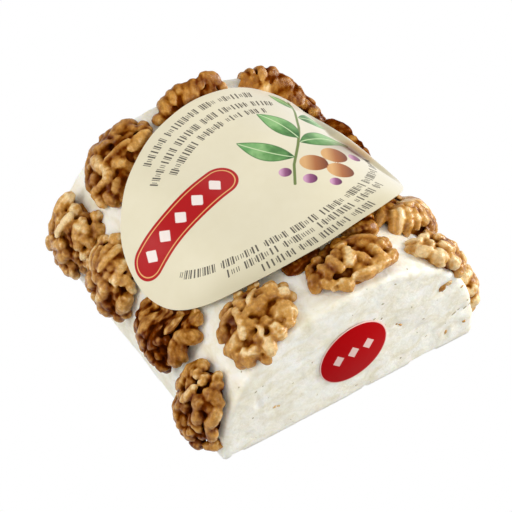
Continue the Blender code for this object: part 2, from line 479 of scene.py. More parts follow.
def makeCheese():
    deselectAll()
    cells = cheeseLook["outlineCells"]
    bpy.ops.mesh.primitive_circle_add(vertices=2 * cells + 1, radius=halfOutline, fill_type="NGON")
    cheese = bpy.context.object
    # the circle's points are moved onto the arch, foot to foot
    walk = np.linspace(-halfOutline, halfOutline, 2 * cells + 1)
    arch = overLoaf(walk, np.full(len(walk), -loafLength / 2), np.zeros(len(walk)))
    writePoints(cheese.data, arch)
    pickOnly(cheese)
    bpy.ops.object.mode_set(mode="EDIT")
    bpy.ops.mesh.select_all(action="SELECT")
    bpy.ops.mesh.extrude_region_move(TRANSFORM_OT_translate={"value": (0, loafLength, 0)})
    bpy.ops.mesh.select_all(action="SELECT")
    bpy.ops.mesh.normals_make_consistent(inside=False)
    bpy.ops.object.mode_set(mode="OBJECT")
    applyModifier(cheese, "BEVEL", width=loaf["edgeRounding"], segments=4,
                  limit_method="ANGLE", angle_limit=math.radians(45))
    applyModifier(cheese, "REMESH", mode="VOXEL", voxel_size=cheeseLook["voxel"])
    applyModifier(cheese, "SMOOTH", factor=0.5, iterations=6)
    for size, depth in (cheeseLook["broadRelief"], cheeseLook["smearRelief"]):
        applyRelief(cheese, "cheeseRelief", "SOFT_NOISE", size, depth, 0.5, 2)
    pressDents(cheese.data)
    pickOnly(cheese)
    bpy.ops.object.shade_smooth()
    return finishPiece(cheese, "cheese_loaf", cheeseMaterial(), "cheese", "cheese")


cheeseLoaf = makeCheese()
print("cheese made")


# The walnut halves

walnutLook = {
    "voxel": 0.46 * mm,
    "coreShare": 0.66,          # height of the solid core under the folds
    "coreSpan": (0.39, 0.37),   # its half length and half width, as shares of the whole
    "corePower": 0.38,
    "convolutions": (5.5 * mm, 0.60 * mm),
    "wrinkles": (2.2 * mm, 0.26 * mm),
    "reliefMiddle": 0.35,
    "pitDepth": 0.8 * mm,
    "pitPower": 1.5,
    "underside": -1 * mm,       # nothing of a half goes lower
    "sink": 0.8 * mm,           # how deep a half is pressed into the cheese
    "underLabelRoom": 0.5 * mm,
    "underLabelMargin": 1.5 * mm,
    "underLabelEasy": 0.55,     # up to this share of the room under the label nothing is pressed
    "pastLabelSlope": 1.6,
    "folds": {
        "domePower": 0.36,          # the folds' crests follow this dome
        "swell": 1.30,              # folds are drawn a little thicker than laid out, so that they meet
        "bend": 0.5,
        "tip": 0.55,                # how far a fold's round end reaches on, as a share of its thickness
        "unevenPlace": 0.25,
        "unevenThickness": (0.86, 1.12),
        # places along a fold and how thick it is there, both as shares
        "alongFold": ((0, 0.45), (0.05, 0.85), (0.25, 1), (0.5, 1), (0.75, 1), (0.95, 0.85), (1, 0.45)),
        "aboveBase": 0.25,          # a fold's middle stays this share of its thickness over the base
        "fillerTries": 420,         # low folds are put where a try finds a bare place
        "fillerReach": 0.93,        # how far out they go, as a share of the outline
        "fillerRim": 0.75,          # past this share they lie along the rim
        "fillerTurn": (0.5, 1.5),   # how far they turn at the rim and elsewhere, in radians
        "fillerRise": (-1.3, 0.0),
        "fillerLength": (1.0, 2.6),
        "fillerThickness": (1.4, 2.3),
        "fillerTone": (-0.05, 0.12),
        "bareGap": 0.40,            # how far a bare place is from every fold, in mm
        "pitFloor": -1.9,           # how low the folds in a deep place lie, in mm
    },
    "seeded": {
        # places as shares of the half's length and width, angles in degrees, thickness and rise in mm
        "perSide": (4, 5),
        "fan": (18, 144, 7),        # where it starts, how far it sweeps and how uneven it is
        "start": (0.30, 0.07),
        "end": (0.43, 0.40),
        "thickness": (1.7, 2.5),
        "fullWidth": 22,            # a narrower half has thinner folds
        "body": 1.3,
        "rise": (-0.4, 0.8),
        "tone": (-0.08, 0.08),
        "knucklePlace": (2.5, (0.86, 1.0)),
        "knuckleThickness": (1.0, 1.4),
        "knuckleRise": (-0.5, 0.5),
        "endFold": (0.36, 0.42, 0.08),
        "endThickness": (2.0, 2.8),
    },
    "skin": {
        # painted shade: how much a fine and a broad crease, a place low on the half and a deep place darken
        # the colour
        "fine": 1.00,
        "broad": 0.20,
        "low": 0.06,
        "deep": 0.16,
        "fineRounds": 6,
        "broadRounds": 60,
        "lowest": 6,                # in mm under the dome
        "domeEdge": 0.98,           # the dome ends before its height is nothing
        "range": (4, 94),           # the palest and darkest points beyond these shares in a hundred are cut
        "seenFrom": 2 * mm,
        "ridge": 0.10,              # the shade of the palest ridges
        # from the skin's golden tan to the dark brown of the painted shade in creases and deep places
        "tones": [(0.02, "#EDD09A"), (0.20, "#CB9545"), (0.40, "#9C6219"), (0.60, "#642A02"),
                  (0.86, "#330F00")],
        "shineTint": (1.0, 0.92, 0.80, 1.0),
        "patches": 8 * mm,
        "veins": 2 * mm,
        "veinDepth": 0.22 * mm,
    },
}

# Each half: distance over the loaf from the crown and along it, the turn of its long axis, and its
# length, width and height, in mm and degrees, as the CAD has them. Then how brown it is beside the
# others, below 0 for paler, and how far the painted shade darkens its creases.
walnutHalves = {
    "left_1": (-79, -50, 0, 40, 28, 13.0, 0.1, 0.74),
    "left_2": (-64.5, -19, 20, 37, 34, 13.0, 0.17, 0.8),
    "left_3": (-71, 19, 10, 38, 29, 12.5, 0.05, 0.6),
    "left_4": (-74.3, 49, 0, 40, 29, 12.0, 0.02, 0.6),
    "shoulder_1": (-36.5, -50.5, 28, 37, 30, 10.0, 0.06, 0.46),
    "shoulder_2": (-36, 48.5, 25, 38, 31, 10.5, 0.13, 0.54),
    "crown_1": (6.5, -52, 0, 39, 24, 10.5, 0.16, 0.49),
    "crown_2": (2, 54.5, 5, 35, 21, 11.0, 0.2, 0.45),
    "crown_3": (41, 53, 0, 36, 24, 11.0, 0.17, 0.45),
    "tucked_1": (-8.5, -35, 10, 19, 16, 7.5, 0.27, 0.58),
    "tucked_2": (20.5, -34.8, -8, 18, 12.5, 8.0, 0.16, 0.58),
    "right_1": (50, -55, 3, 32, 19, 10.0, -0.03, 0.46),
    "right_2": (48, -32, 0, 38, 24, 12.5, 0.08, 0.48),
    "right_3": (82, -50, 5, 28, 26, 10.0, -0.06, 0.5),
    "right_4": (82, -13, 85, 32, 26, 8.0, 0.0, 0.55),
    "right_5": (69, 27, 85, 28, 22, 12.5, 0.31, 0.52),
    "right_6": (77.5, 53.5, 0, 34, 22, 9.5, 0.21, 0.52),
}

# The folds of the halves that face the viewer, laid out in each half's own frame: from and
# to, half thickness, rise over the dome in mm, and tone, below 0 for paler.
# A fold's tone is partly the lobe's own colour and partly painted highlight and shade, for how the lobe is
# lit.
walnutFolds = {
    "left_1": [
        (13.5, 8.5, 8, 8, 2.6), (6.5, 8, 5, 8.5, 2.0, 0, 0.05), (3, 12.5, 0, 12.5, 2.0),
        (12, 0, 5, 1.5, 1.5, 0.5, -0.12), (9, -4.4, 7.5, -4.8, 2.9, 0.5, -0.05), (5, -5.8, 1, -6.5, 2.0),
        (12.5, -5, 11.5, -10, 2.2, 0, 0.05), (9, -7.5, 7, -9, 2.0, -1, 0.2),
        (9.5, -11, 1, -11, 2.3, 0, -0.08), (-1, -11.5, -5, -12, 2.2, 0, 0.1), (-2, 8.5, -5, 4, 1.8),
        (-5, 5, -9, 4, 2.0), (-6, 2, -9, 1, 2.0), (-8, -2, -10, -4, 2.5), (-13, -4, -14, -6, 2.0, 0, 0.12),
    ],
    "left_2": [
        (-2, 15.5, -8, 13.5, 2.8, 1), (6, 13.5, 4, 13, 2.0), (3, 11, 1, 10, 2.0),
        (1.5, 5, -3, 7, 2.9, 0.5, -0.12), (-4, 7.5, -8, 9, 2.3, 0, -0.08), (-9, 9, -12, 9, 2.0),
        (-14, 7, -16, 5, 2.2), (0, -1, -9, 1, 2.2, -0.8, 0.12), (7, 5, 5, 0, 2.0), (6, -4, 5.5, -8, 1.4),
        (5, -7.3, 1, -6.4, 2.3, 0.8, -0.15), (8.5, -12, 6.5, -15, 2.6), (0.5, -12, 1.5, -16.5, 2.4),
        (-0.5, -12.3, -1.5, -16, 1.2, 0, -0.12), (-2, -13, -8, -14, 2.2),
        (-2.5, -11, -11, -10.5, 2.6, 0, 0.03), (-13, -2, -15, -4, 2.4, 0, 0.12), (-10, 2, -13, 0, 2.4),
    ],
    "left_3": [
        (14.2, -1.8, 4.5, -1, 1.3, 0.8, -0.05), (15, 3, 16, -1, 2.6, 0, -0.12),
        (12, 1.5, 5, 0.5, 2.2, 0, 0.03), (10.5, 5, 4, 3, 2.0, 0, 0.03), (9, 9, 3, 5, 1.8, 0, -0.1),
        (8, 12.5, 3, 13.5, 1.5), (3, 13.5, 0, 12.5, 1.8), (2.5, 11.5, 1, 10.5, 1.8),
        (-1.5, 8, -4, 6, 3.4, 0, -0.03), (1, 3, 1, -1, 2.4), (0, -2, -3.5, -4.5, 2.8),
        (-5, 10, -8, 8, 2.4, 0, 0.12), (-3, -4.3, -6, -2, 2.2, 0, -0.1), (-8, -1.5, -13, -3, 3.0),
        (10.5, -6.5, 7, -7.5, 1.6, 0, -0.1), (5, -7.8, 3, -8, 2.5, 0, -0.1), (5, -13, 1, -14, 1.5),
        (-2, -12.5, -8, -10.5, 3.0, 0, 0.02),
    ],
    "left_4": [
        (15, 7.5, 9, 7, 2.4, 2, -0.04), (8, 8, 4, 9, 2.0), (12, -0.8, 7, 0.3, 1.6, 1, -0.3),
        (7, 0.3, 2, 0.5, 1.2, 0.8, -0.25), (9, 4, 4, 4.5, 1.8, 0, 0.06), (4, 9, -3, 7, 1.8),
        (12, -5.5, 8, -6, 2.8, 0, -0.05), (8, -6.5, 5, -7.5, 2.4), (13, -10, 10, -11.5, 2.6, 0, 0.12),
        (11.5, -8, 9, -10, 1.6, 0, -0.12), (4.5, -8.5, 3, -9, 1.9, 0, 0.08), (7, -10.5, 6, -12.5, 2.0),
        (-0.5, -2.5, -4.5, 3.5, 2.2), (-3, -4.5, -8, -0.5, 2.6), (-6, 9, -10, 8, 1.8, 1),
        (-1, 12, -3, 11, 2.2), (-12, -3.5, -14, -5, 2.0), (-11, -8, -13, -8.5, 1.5),
    ],
    "shoulder_1": [
        (5, -8.5, 7.5, -11, 4.6, 0, -0.1), (12.8, -5.5, 12, -6.2, 2.3, 0.5, -0.25),
        (14, 1, 10.5, -2.5, 3.0, 0.5), (10.5, 4.5, 4.5, 2, 1.2, 0.8, -0.12),
        (8, -1.5, 2, 1.5, 2.4, 0, 0.02), (5, 10, 4, 7.5, 1.8), (3, 13, 2, 12, 1.5),
        (1, 6.5, -3, 1.5, 1.3, 0.5, -0.05), (2, 1, -1.5, 2, 1.2), (-3, 1, -7, -1, 1.8, 0.5, -0.05),
        (1, 8.5, -5, 12, 1.3), (1, 13, -2, 13.5, 1.9), (-6, 12.5, -10, 10.5, 1.8, 0, 0.08),
        (-7, 1.5, -14, 4, 2.8), (-2.5, -5, -5, -8, 0.9, 0, -0.15), (-1, -10.5, -2.5, -13, 2.5, 0, -0.12),
        (-6, -10, -9, -11.5, 2.4, 0, -0.18), (-9.5, -6.5, -12, -6, 2.0, 0, -0.12),
        (-12, -2.5, -12.5, -4.5, 2.2, 0, -0.18), (-14.5, -3, -14.5, -6, 2.0, 0, 0.05),
    ],
    "shoulder_2": [
        (17, 5.5, 8.5, 6.5, 2.5, 0.8, -0.05), (10, 0.5, 3, 1, 2.0, -1, 0.15),
        (7.5, -2, -2, 2.2, 1.0, 0.5, -0.08), (14, -5, 5, -4.5, 1.9, 0.5, -0.08),
        (11, -8, 3, -7.5, 1.7, -0.8, 0.12), (-1.3, -3.8, -2.6, -4, 2.1, 0, -0.12),
        (-2.7, 9.8, -6, 0.5, 2.3, 0.5, -0.12), (-6, -0.5, -9, -1.8, 1.9, 0.5, -0.12),
        (-9.5, -1, -13.5, 4, 1.5, 0, -0.08), (-13.5, 4, -16, 5.5, 1.4), (4.5, 6, 0.5, 12.5, 1.5),
        (3, 13.5, -2, 13, 2.6), (-2, 14, -9, 13, 1.6), (-9, 12.5, -14, 9.5, 1.8, 0, 0.05),
        (-7, 9, -12, 7, 1.8, -2, 0.2), (-16.5, 2, -18, 0.5, 1.9, 0, -0.1), (-14, -2.5, -16, -6, 2.2),
        (-8, -6, -12, -6.5, 1.6, 0, -0.1), (-5, -8.5, -14, -9, 2.0, -0.5, 0.12),
    ],
    "crown_1": [
        (0.5, 10.5, -2, 5, 2.2, 1.5, 0.02), (-1, 2.3, -4.4, -4.1, 2.3, 0.8, -0.15),
        (-8.5, 2.9, -7.7, -4, 1.9, 0.5, -0.1), (-5, 5, -5.5, 1, 1.5, 0, 0.1),
        (-13.1, 2.7, -11.8, -3.5, 1.6), (-16.5, 1, -18, -2, 2.6, 0, 0.06),
        (-15, -3.5, -14.5, -5.5, 1.7, 0, -0.1), (-13, -6, -12.5, -7.5, 1.8, 0, -0.05),
        (-9.5, -7.5, -7, -9, 2.4, 0, -0.15), (-4.5, -8.5, 3, -9.2, 2.1, 0, -0.12),
        (3, -9, 11, -7, 2.1, 0, -0.12), (11, -6.5, 16.5, -2.5, 2.3, 0, -0.08),
        (14, 2, 17, 1, 2.2, 0, -0.02), (4, -6.5, 10, -4.8, 1.8, -0.5, -0.04),
        (1.5, 7.5, 11.5, 3.2, 2.0, 0.5), (0.6, -2, 2.6, -5.2, 2.0, 0, -0.05),
        (7.5, -0.3, 8.5, -4, 2.3, 0, -0.05), (10.5, 1.5, 13, -0.5, 2.0),
        (4.5, 3.5, 8.5, 2, 1.6, -0.5, 0.05),
    ],
    "tucked_1": [
        (-7, -4, 6.5, -4.5, 3.4, 0, 0.12), (-6, 1, 5, 1, 3.0, 0, 0.12),
    ],
    "tucked_2": [
        (-6, -3, 6, -3.5, 3.0, 0, -0.05), (-5, 1, 6, 1, 3.0),
    ],
    "crown_2": [
        (-15.5, 3.5, -16, 0, 2.0), (-9, 7, -12, 1, 2.4), (-5, 8.5, -7.5, 3, 2.1),
        (-1, 8.5, -2.5, 5, 2.0, 0.5), (1.5, 7, -2.5, 0.5, 2.0, 0, 0.03), (4.5, 7, 3.5, 3, 2.0, 0.8),
        (1.5, 3, 2.5, -3, 2.9, 0, -0.08), (-9, -2, -4, -3.5, 2.6, -0.6, -0.05),
        (4, -3, 14, -2, 2.4, 0.3, -0.03), (6.5, 4, 8.5, 6, 1.5, 1.5, 0.1), (9.5, 6.3, 15.5, 5, 2.3, 3.2),
        (8, 0, 12, 1, 1.8, -0.5, 0.05),
    ],
    "crown_3": [
        (-14, 2.5, -7.5, 2.8, 2.9, 0.3, 0.03), (-5, 7, -5, 4, 1.6, 1.8), (0, 6.5, 1.5, 5, 2.2, 0.8, 0.12),
        (-6, 0.2, -2.5, 0.5, 1.7, 0.8, -0.12), (-2.5, 0.5, -1, -6, 1.8, 0.8, -0.12),
        (-14, -3, -9, -6, 1.4, 0, -0.15), (-9, -1.5, -6, -2.5, 2.0, -0.5, 0.12),
        (-5, -5, -4.5, -8, 1.8, 0, 0.1), (2, -6, 3.5, -8, 2.2, 0, 0.12), (6, -7, 6.5, -9.5, 2.1, 0, 0.15),
        (0, -3.5, 7.5, -2.5, 2.2, 0, 0.1), (11, -3, 12, -6, 2.4, 0, 0.12), (4, 1, 9, 2, 2.3, 0, 0.08),
        (13, 0, 15, -3, 2.2, 0, 0.1), (-11, -6, -6, -9.5, 1.8, -0.5, 0.1),
    ],
    "right_1": [
        (-12.8, 6, -12, 4.5, 2.3, 0, -0.25), (-8.8, 5.8, -8.5, 4.5, 1.9, 0, -0.05),
        (-15.5, 3.5, -16, 2, 2.2, 0, 0.03), (-15, -0.5, -12, -2, 2.1, 0, -0.2),
        (-10.5, -4, -6.5, -6, 2.8, 0, -0.06), (0.5, 1, 4, -1.5, 2.6, 0, -0.05),
        (-3, -6.5, 1, -7, 2.4, 0, -0.05), (-6, -1, -1, -3.5, 1.8, 0, 0.08), (-4, 3, 0, 4, 2.0),
        (7, -3, 10, -4, 2.3, 0, -0.05), (6, 2, 10, 1, 2.2), (13, 0, 13.5, -3, 2.0), (-5, 6.5, 1, 6.5, 2.0),
    ],
    "right_2": [
        (-2, 6, 1, 4.5, 2.3, 2), (-5.5, 0, -2, -3.5, 3.0, 0.5, -0.08),
        (-11, -5, -11, -10.5, 1.4, 0.3, -0.22), (-13.2, -4.5, -12.9, -10, 1.7, 0, -0.03),
        (-7.6, -5.5, -7.6, -11, 2.0, 0, -0.08), (-5, -6, -4, -10, 2.2), (-3, 1, 5, -4, 2.2, 0.3, -0.1),
        (-15, -1, -17, -4, 2.2, 0, 0.05), (-12.5, 1, -9, -2, 2.4, 0, 0.05), (0, -5, 1, -9, 2.2, 0, -0.05),
        (6, 3, 11, 0, 2.4), (5, -4, 8, -7, 2.2, 0, 0.05), (12, -2, 13, -6, 2.3), (1, 1, 4, 4, 2.2),
        (-8, 4, -12, 5, 2.4),
    ],
}

# Deep places between the folds: where and how wide, in mm.
walnutPits = {
    "left_1": [
        (0, 7.5, 2.2), (-4, -8.5, 3.2), (0.5, -9.5, 2), (0, -2.5, 2), (4, -2.5, 1.6), (5, -8.5, 1.8),
    ],
    "left_2": [
        (8, -10, 2.2), (4, -10.3, 2.4), (1, -9.5, 2.4), (-3, -7.6, 2.6), (-7, -6, 2.6), (-10.5, -5.5, 2.2),
        (-1, -4, 1.8),
    ],
    "left_3": [(5.5, 12, 1.6), (-4.5, 2.5, 1.8), (-1, -9, 2.6), (-5, -8, 2.2), (-9, -7.5, 2.2)],
    "left_4": [(3, 5, 1.8), (4, -4.7, 2.4), (1, -8, 2.4), (-2.7, -8.3, 2.6), (-7.5, -9, 2.6)],
    "shoulder_1": [
        (7.5, 6.5, 2.4), (-5, 6, 3.2), (-8, 8, 2), (5, -3.7, 1.8), (1, -3, 2.2), (-3.3, -3.3, 2.4),
        (-8, -4.5, 2.4),
    ],
    "shoulder_2": [(0.8, 4.3, 2.6), (-6, -4.5, 2.2), (-9.8, 3.5, 2.2), (-13.5, 0, 2.0)],
    "crown_1": [
        (1.4, 1.3, 1.6), (4.75, -0.8, 1.8), (5.6, -3.4, 1.5), (-9.6, -5.6, 1.6), (-13.2, -3.9, 1.2),
        (-6, 8, 2.5),
    ],
    "crown_2": [(-4.5, 2.5, 1.5), (-14, -1.5, 1.8), (6, 1.5, 1.5), (-1, -2.5, 1.2)],
    "crown_3": [(-7, -4.8, 1.8), (-2.7, -8.2, 2.0), (4.3, -5, 1.3), (-9, 0, 1.2)],
    "right_1": [(-11, 0.3, 1.3), (-7, 2.4, 1.5), (2.5, -4.3, 1.4)],
    "right_2": [(-9.4, -7.5, 1.3), (-9.4, -10, 1.3), (-8.5, 1.5, 1.8), (3.5, -1, 1.6), (-15.5, -3.5, 1.2)],
}

# Places at a half's rim where the cheese shows instead of a fold: where and how wide, in mm.
walnutGaps = {"left_4": [(20.0, 1.0, 7.0)]}

# How steeply a half may rise past the label's rim, where it isn't the usual slope.
walnutSlope = {"right_5": 4.0}


def layFold(startU, startV, endU, endV, thick, rise=0, tone=0):
    return (startU, startV), (endU, endV), thick, rise, tone


def seededFolds(name, length, width):
    # folds fan out from the cleft to the rim on both sides, with knuckles at their ends
    draw = random.Random(name)
    lay = walnutLook["seeded"]
    folds = []
    for side in (1, -1):
        count = draw.choice(lay["perSide"])
        for step in range(count):
            fanFrom, sweep, uneven = lay["fan"]
            fan = math.radians(fanFrom + sweep * (step + 0.5) / count + draw.uniform(-uneven, uneven))
            start = (length * lay["start"][0] * math.cos(fan), side * width * lay["start"][1])
            end = (length * lay["end"][0] * math.cos(fan), side * width * lay["end"][1] * math.sin(fan))
            thick = draw.uniform(*lay["thickness"]) * min(1.0, width / lay["fullWidth"])
            rise, tone = draw.uniform(*lay["rise"]), draw.uniform(*lay["tone"])
            folds.append((start, end, thick * lay["body"], rise, tone))
            aside, inwards = lay["knucklePlace"]
            knuckle = (end[0] + draw.uniform(-aside, aside), end[1] * draw.uniform(*inwards))
            thick = thick * draw.uniform(*lay["knuckleThickness"])
            folds.append((end, knuckle, thick, draw.uniform(*lay["knuckleRise"]), 0))
    inner, outer, across = lay["endFold"]
    for end in (1, -1):
        folds.append(((end * length * inner, -width * across), (end * length * outer, width * across),
                      draw.uniform(*lay["endThickness"]), 0, 0))
    return folds


def fromFold(u, v, fold):
    # how far places are from a fold's line
    (startU, startV), (endU, endV) = fold[:2]
    length = math.hypot(endU - startU, endV - startV) or 1
    wayU, wayV = (endU - startU) / length, (endV - startV) / length
    walk = np.clip((u - startU) * wayU + (v - startV) * wayV, 0, length)
    return np.hypot(u - startU - walk * wayU, v - startV - walk * wayV)


def insideAny(u, v, circles):
    return any(math.hypot(u - centreU, v - centreV) < radius for centreU, centreV, radius in circles)


def fillBare(folds, pits, gaps, length, width, draw):
    # low folds in the places that the laid out ones leave bare
    look = walnutLook["folds"]
    for _ in range(look["fillerTries"]):
        spin, out = draw.uniform(0, 2 * math.pi), math.sqrt(draw.random()) * look["fillerReach"]
        u, v = out * length / 2 * math.cos(spin), out * width / 2 * math.sin(spin)
        if min(fromFold(u, v, fold) - fold[2] for fold in folds) < look["bareGap"]:
            continue
        if insideAny(u, v, gaps):
            continue
        rise = look["pitFloor"] if insideAny(u, v, pits) else draw.uniform(*look["fillerRise"])
        # those near the rim lie along it, the others every way
        atRim = out > look["fillerRim"]
        turn = look["fillerTurn"][0] if atRim else look["fillerTurn"][1]
        way = spin + ((math.pi / 2 if atRim else 0) + draw.uniform(-turn, turn))
        reach = draw.uniform(*look["fillerLength"])
        thick, tone = draw.uniform(*look["fillerThickness"]), draw.uniform(*look["fillerTone"])
        folds.append(((u, v), (u + reach * math.cos(way), v + reach * math.sin(way)), thick, rise, tone))


def foldPath(fold, size, draw):
    # the points of one fold with their thickness: round at its ends, lumpy along its length
    look = walnutLook["folds"]
    (startU, startV), (endU, endV), thick, rise, _ = fold
    length, width, height = size
    uneven, bend = look["unevenPlace"], draw.uniform(-look["bend"], look["bend"])
    aside = Vector((-(endV - startV), endU - startU, 0))
    aside = aside.normalized() if aside.length > 0 else aside
    reach = math.hypot(endU - startU, endV - startV) or 1
    points = []
    for share, swell in look["alongFold"]:
        u = startU + (endU - startU) * share + aside.x * bend * 4 * share * (1 - share)
        v = startV + (endV - startV) * share + aside.y * bend * 4 * share * (1 - share)
        tip = thick * look["tip"] * (-1 if share == 0 else 1 if share == 1 else 0)
        u += (endU - startU) / reach * tip + draw.uniform(-uneven, uneven)
        v += (endV - startV) / reach * tip + draw.uniform(-uneven, uneven)
        out = min((u / (length / 2)) ** 2 + (v / (width / 2)) ** 2, 1.0)
        crest = height * (1 - out) ** look["domePower"] + rise
        here = thick * swell * draw.uniform(*look["unevenThickness"]) * look["swell"]
        points.append(((u * mm, v * mm, max(crest - here, here * look["aboveBase"]) * mm), here))
    return points


def makeTubes(paths):
    # every fold of a half in one curve, then turned into a mesh
    deselectAll()
    bpy.ops.curve.primitive_nurbs_path_add()
    tubes = bpy.context.object
    tubes.data.splines.clear()
    for path in paths:
        spline = tubes.data.splines.new("NURBS")
        spline.points.add(len(path) - 1)
        for knot, (place, thick) in zip(spline.points, path):
            knot.co = (*place, 1.0)
            knot.radius = thick
        spline.use_endpoint_u = True
        spline.order_u = 3
        spline.resolution_u = 3
    tubes.data.bevel_depth = 1 * mm
    tubes.data.bevel_resolution = 3
    tubes.data.use_fill_caps = True
    bpy.ops.object.convert(target="MESH")
    return bpy.context.object


def creaseOf(mesh, rounds):
    # how far each point lies below its smoothed surroundings, in mm: folds under 0, creases over
    points = readPoints(mesh)
    ends = np.empty(len(mesh.edges) * 2, dtype=np.int32)
    mesh.edges.foreach_get("vertices", ends)
    a, b = ends.reshape(-1, 2).T
    count = np.bincount(np.concatenate([a, b]), minlength=len(points)).astype(float)
    smooth, pull = points.copy(), 0.7
    for _ in range(rounds):
        total = np.empty_like(smooth)
        for axis in range(3):
            total[:, axis] = (np.bincount(a, weights=smooth[b, axis], minlength=len(points))
                              + np.bincount(b, weights=smooth[a, axis], minlength=len(points)))
        smooth = (1 - pull) * smooth + pull * total / count[:, None]
    return np.einsum("ij,ij->i", smooth - points, readNormals(mesh)) / mm


def walnutMaterial():
    # Walnut kernel: a thin papery skin, drawn into folds as the kernel dried. Golden tan, finely
    # veined, with a dull oily shine; the dark brown in its creases, pits and low places is painted shade.
    skin = walnutLook["skin"]
    material, tree = startMaterial("walnutKernelSkin", {
        "Roughness": 0.27, "IOR": 1.45, "Specular Tint": skin["shineTint"], "Subsurface Weight": 0.15,
        "Subsurface Radius": (1.0, 0.5, 0.2), "Subsurface Scale": 1.2 * mm})
    place = addNode(tree, "TexCoord", output="Object")
    toneAndShade = addNode(tree, "Attribute", output="Fac", attribute_name="toneAndShade")
    # patches of a few millimetres are paler or darker than their tone and painted crease shade alone make
    # them
    patches = addNode(tree, "TexNoise", {"Vector": place, "Scale": 1 / skin["patches"], "Detail": 3.0,
                                         "Roughness": 0.55})
    patches = addNode(tree, "Math", {0: patches, 1: 0.70, 2: -0.35}, operation="MULTIPLY_ADD")
    depth = addNode(tree, "Math", {0: toneAndShade, 1: patches}, operation="ADD")
    tones = addNode(tree, "ValToRGB", {"Fac": depth}, stops=skin["tones"])
    veins = addNode(tree, "TexNoise", {"Vector": place, "Scale": 1 / skin["veins"], "Detail": 5.0,
                                       "Distortion": 2.2})
    paler = addNode(tree, "MapRange", {"Value": veins, "From Min": 0.40, "From Max": 0.62, "To Min": 0.86,
                                       "To Max": 1.08})
    veined = addNode(tree, "VectorMath", {0: tones, "Scale": paler}, operation="SCALE")
    bump = addNode(tree, "Bump", {"Height": veins, "Strength": 0.6, "Distance": skin["veinDepth"]})
    # only the ridges shine
    shine = addNode(tree, "MapRange", {"Value": toneAndShade, "From Min": 0.20, "From Max": 0.60, "To Min": 0.62,
                                       "To Max": 0.0})
    return fillShader(material, {"Base Color": veined, "Normal": bump, "Specular IOR Level": shine})


def makeCore(size, gaps):
    # the solid middle of a half, under its folds
    length, width, height = size
    coreHeight = height * walnutLook["coreShare"] * mm
    coreLong, coreWide = length * walnutLook["coreSpan"][0] * mm, width * walnutLook["coreSpan"][1] * mm
    bpy.ops.mesh.primitive_uv_sphere_add(segments=32, ring_count=16, radius=1.0,
                                         scale=(coreLong, coreWide, coreHeight))
    core = bpy.context.object
    bakePlace(core)
    points = readPoints(core.data)
    out = (points[:, 0] / coreLong) ** 2 + (points[:, 1] / coreWide) ** 2
    swell = coreHeight * (1 - np.minimum(out, 1)) ** walnutLook["corePower"]
    points[:, 2] = np.where(points[:, 2] > 0, swell, points[:, 2])
    for gapU, gapV, radius in gaps:
        # the core is bitten back to the gap's edge
        away = np.hypot(points[:, 0] / mm - gapU, points[:, 1] / mm - gapV)
        push = np.maximum(radius / away, 1)
        points[:, 0] = (gapU + (points[:, 0] / mm - gapU) * push) * mm
        points[:, 1] = (gapV + (points[:, 1] / mm - gapV) * push) * mm
    writePoints(core.data, points)
    return core


def underLabel(name, height, across, along):
    # what would stand through the label is pressed down under it, the higher the more
    longWay, crossWay = labelFrame(across, along)
    share = labelShare(longWay, crossWay)
    past = np.where(share > 1, np.hypot(longWay, crossWay) * (1 - 1 / share), 0)
    past = past - walnutLook["underLabelMargin"]
    limit = labelHeight(across, along) - walnutLook["underLabelRoom"]
    limit = limit + walnutSlope.get(name, walnutLook["pastLabelSlope"]) * np.maximum(past, 0)
    easy = walnutLook["underLabelEasy"] * limit
    over = np.maximum(height - easy, 0) / (limit - easy)
    return np.where(height > easy, easy + (limit - easy) * over / (1 + over), height)


def meltFolds(folds, size, gaps, draw):
    # the folds and the core become one skin, which then wrinkles
    tubes = makeTubes([foldPath(fold, size, draw) for fold in folds])
    half = joinPieces([tubes, makeCore(size, gaps)])
    applyModifier(half, "REMESH", mode="VOXEL", voxel_size=walnutLook["voxel"])
    keepLargest(half.data)
    applyModifier(half, "SMOOTH", factor=0.5, iterations=6)
    for reliefSize, depth in (walnutLook["convolutions"], walnutLook["wrinkles"]):
        # hard noise swells into round folds with sharp creases between them
        applyRelief(half, "walnutRelief", "HARD_NOISE", reliefSize, depth, walnutLook["reliefMiddle"], 1)
    applyModifier(half, "SMOOTH", factor=0.5, iterations=1)
    return half


def skinToneAndShade(mesh, folds, size, sunk, seen, brown, span):
    # how dark each point is: painted shade by its creases and its depth on the half, and the tone of its fold
    skin = walnutLook["skin"]
    length, width, height = size
    u, v, h = readPoints(mesh).T / mm
    out = (u / (length / 2)) ** 2 + (v / (width / 2)) ** 2
    dome = height * np.sqrt(1 - np.minimum(out, skin["domeEdge"]))
    shade = (skin["fine"] * creaseOf(mesh, skin["fineRounds"])
             + skin["broad"] * creaseOf(mesh, skin["broadRounds"])
             + skin["low"] * np.clip(dome - h, 0, skin["lowest"]) + skin["deep"] * sunk)
    # every half runs over its own range, from its pale ridges to its dark creases
    pale, dark = np.percentile(shade[seen], skin["range"])
    tone = brown + sum(fold[4] * bell(fromFold(u, v, fold) / fold[2]) for fold in folds)
    return np.clip(skin["ridge"] + (shade - pale) / (dark - pale) * span + tone, 0, 1)


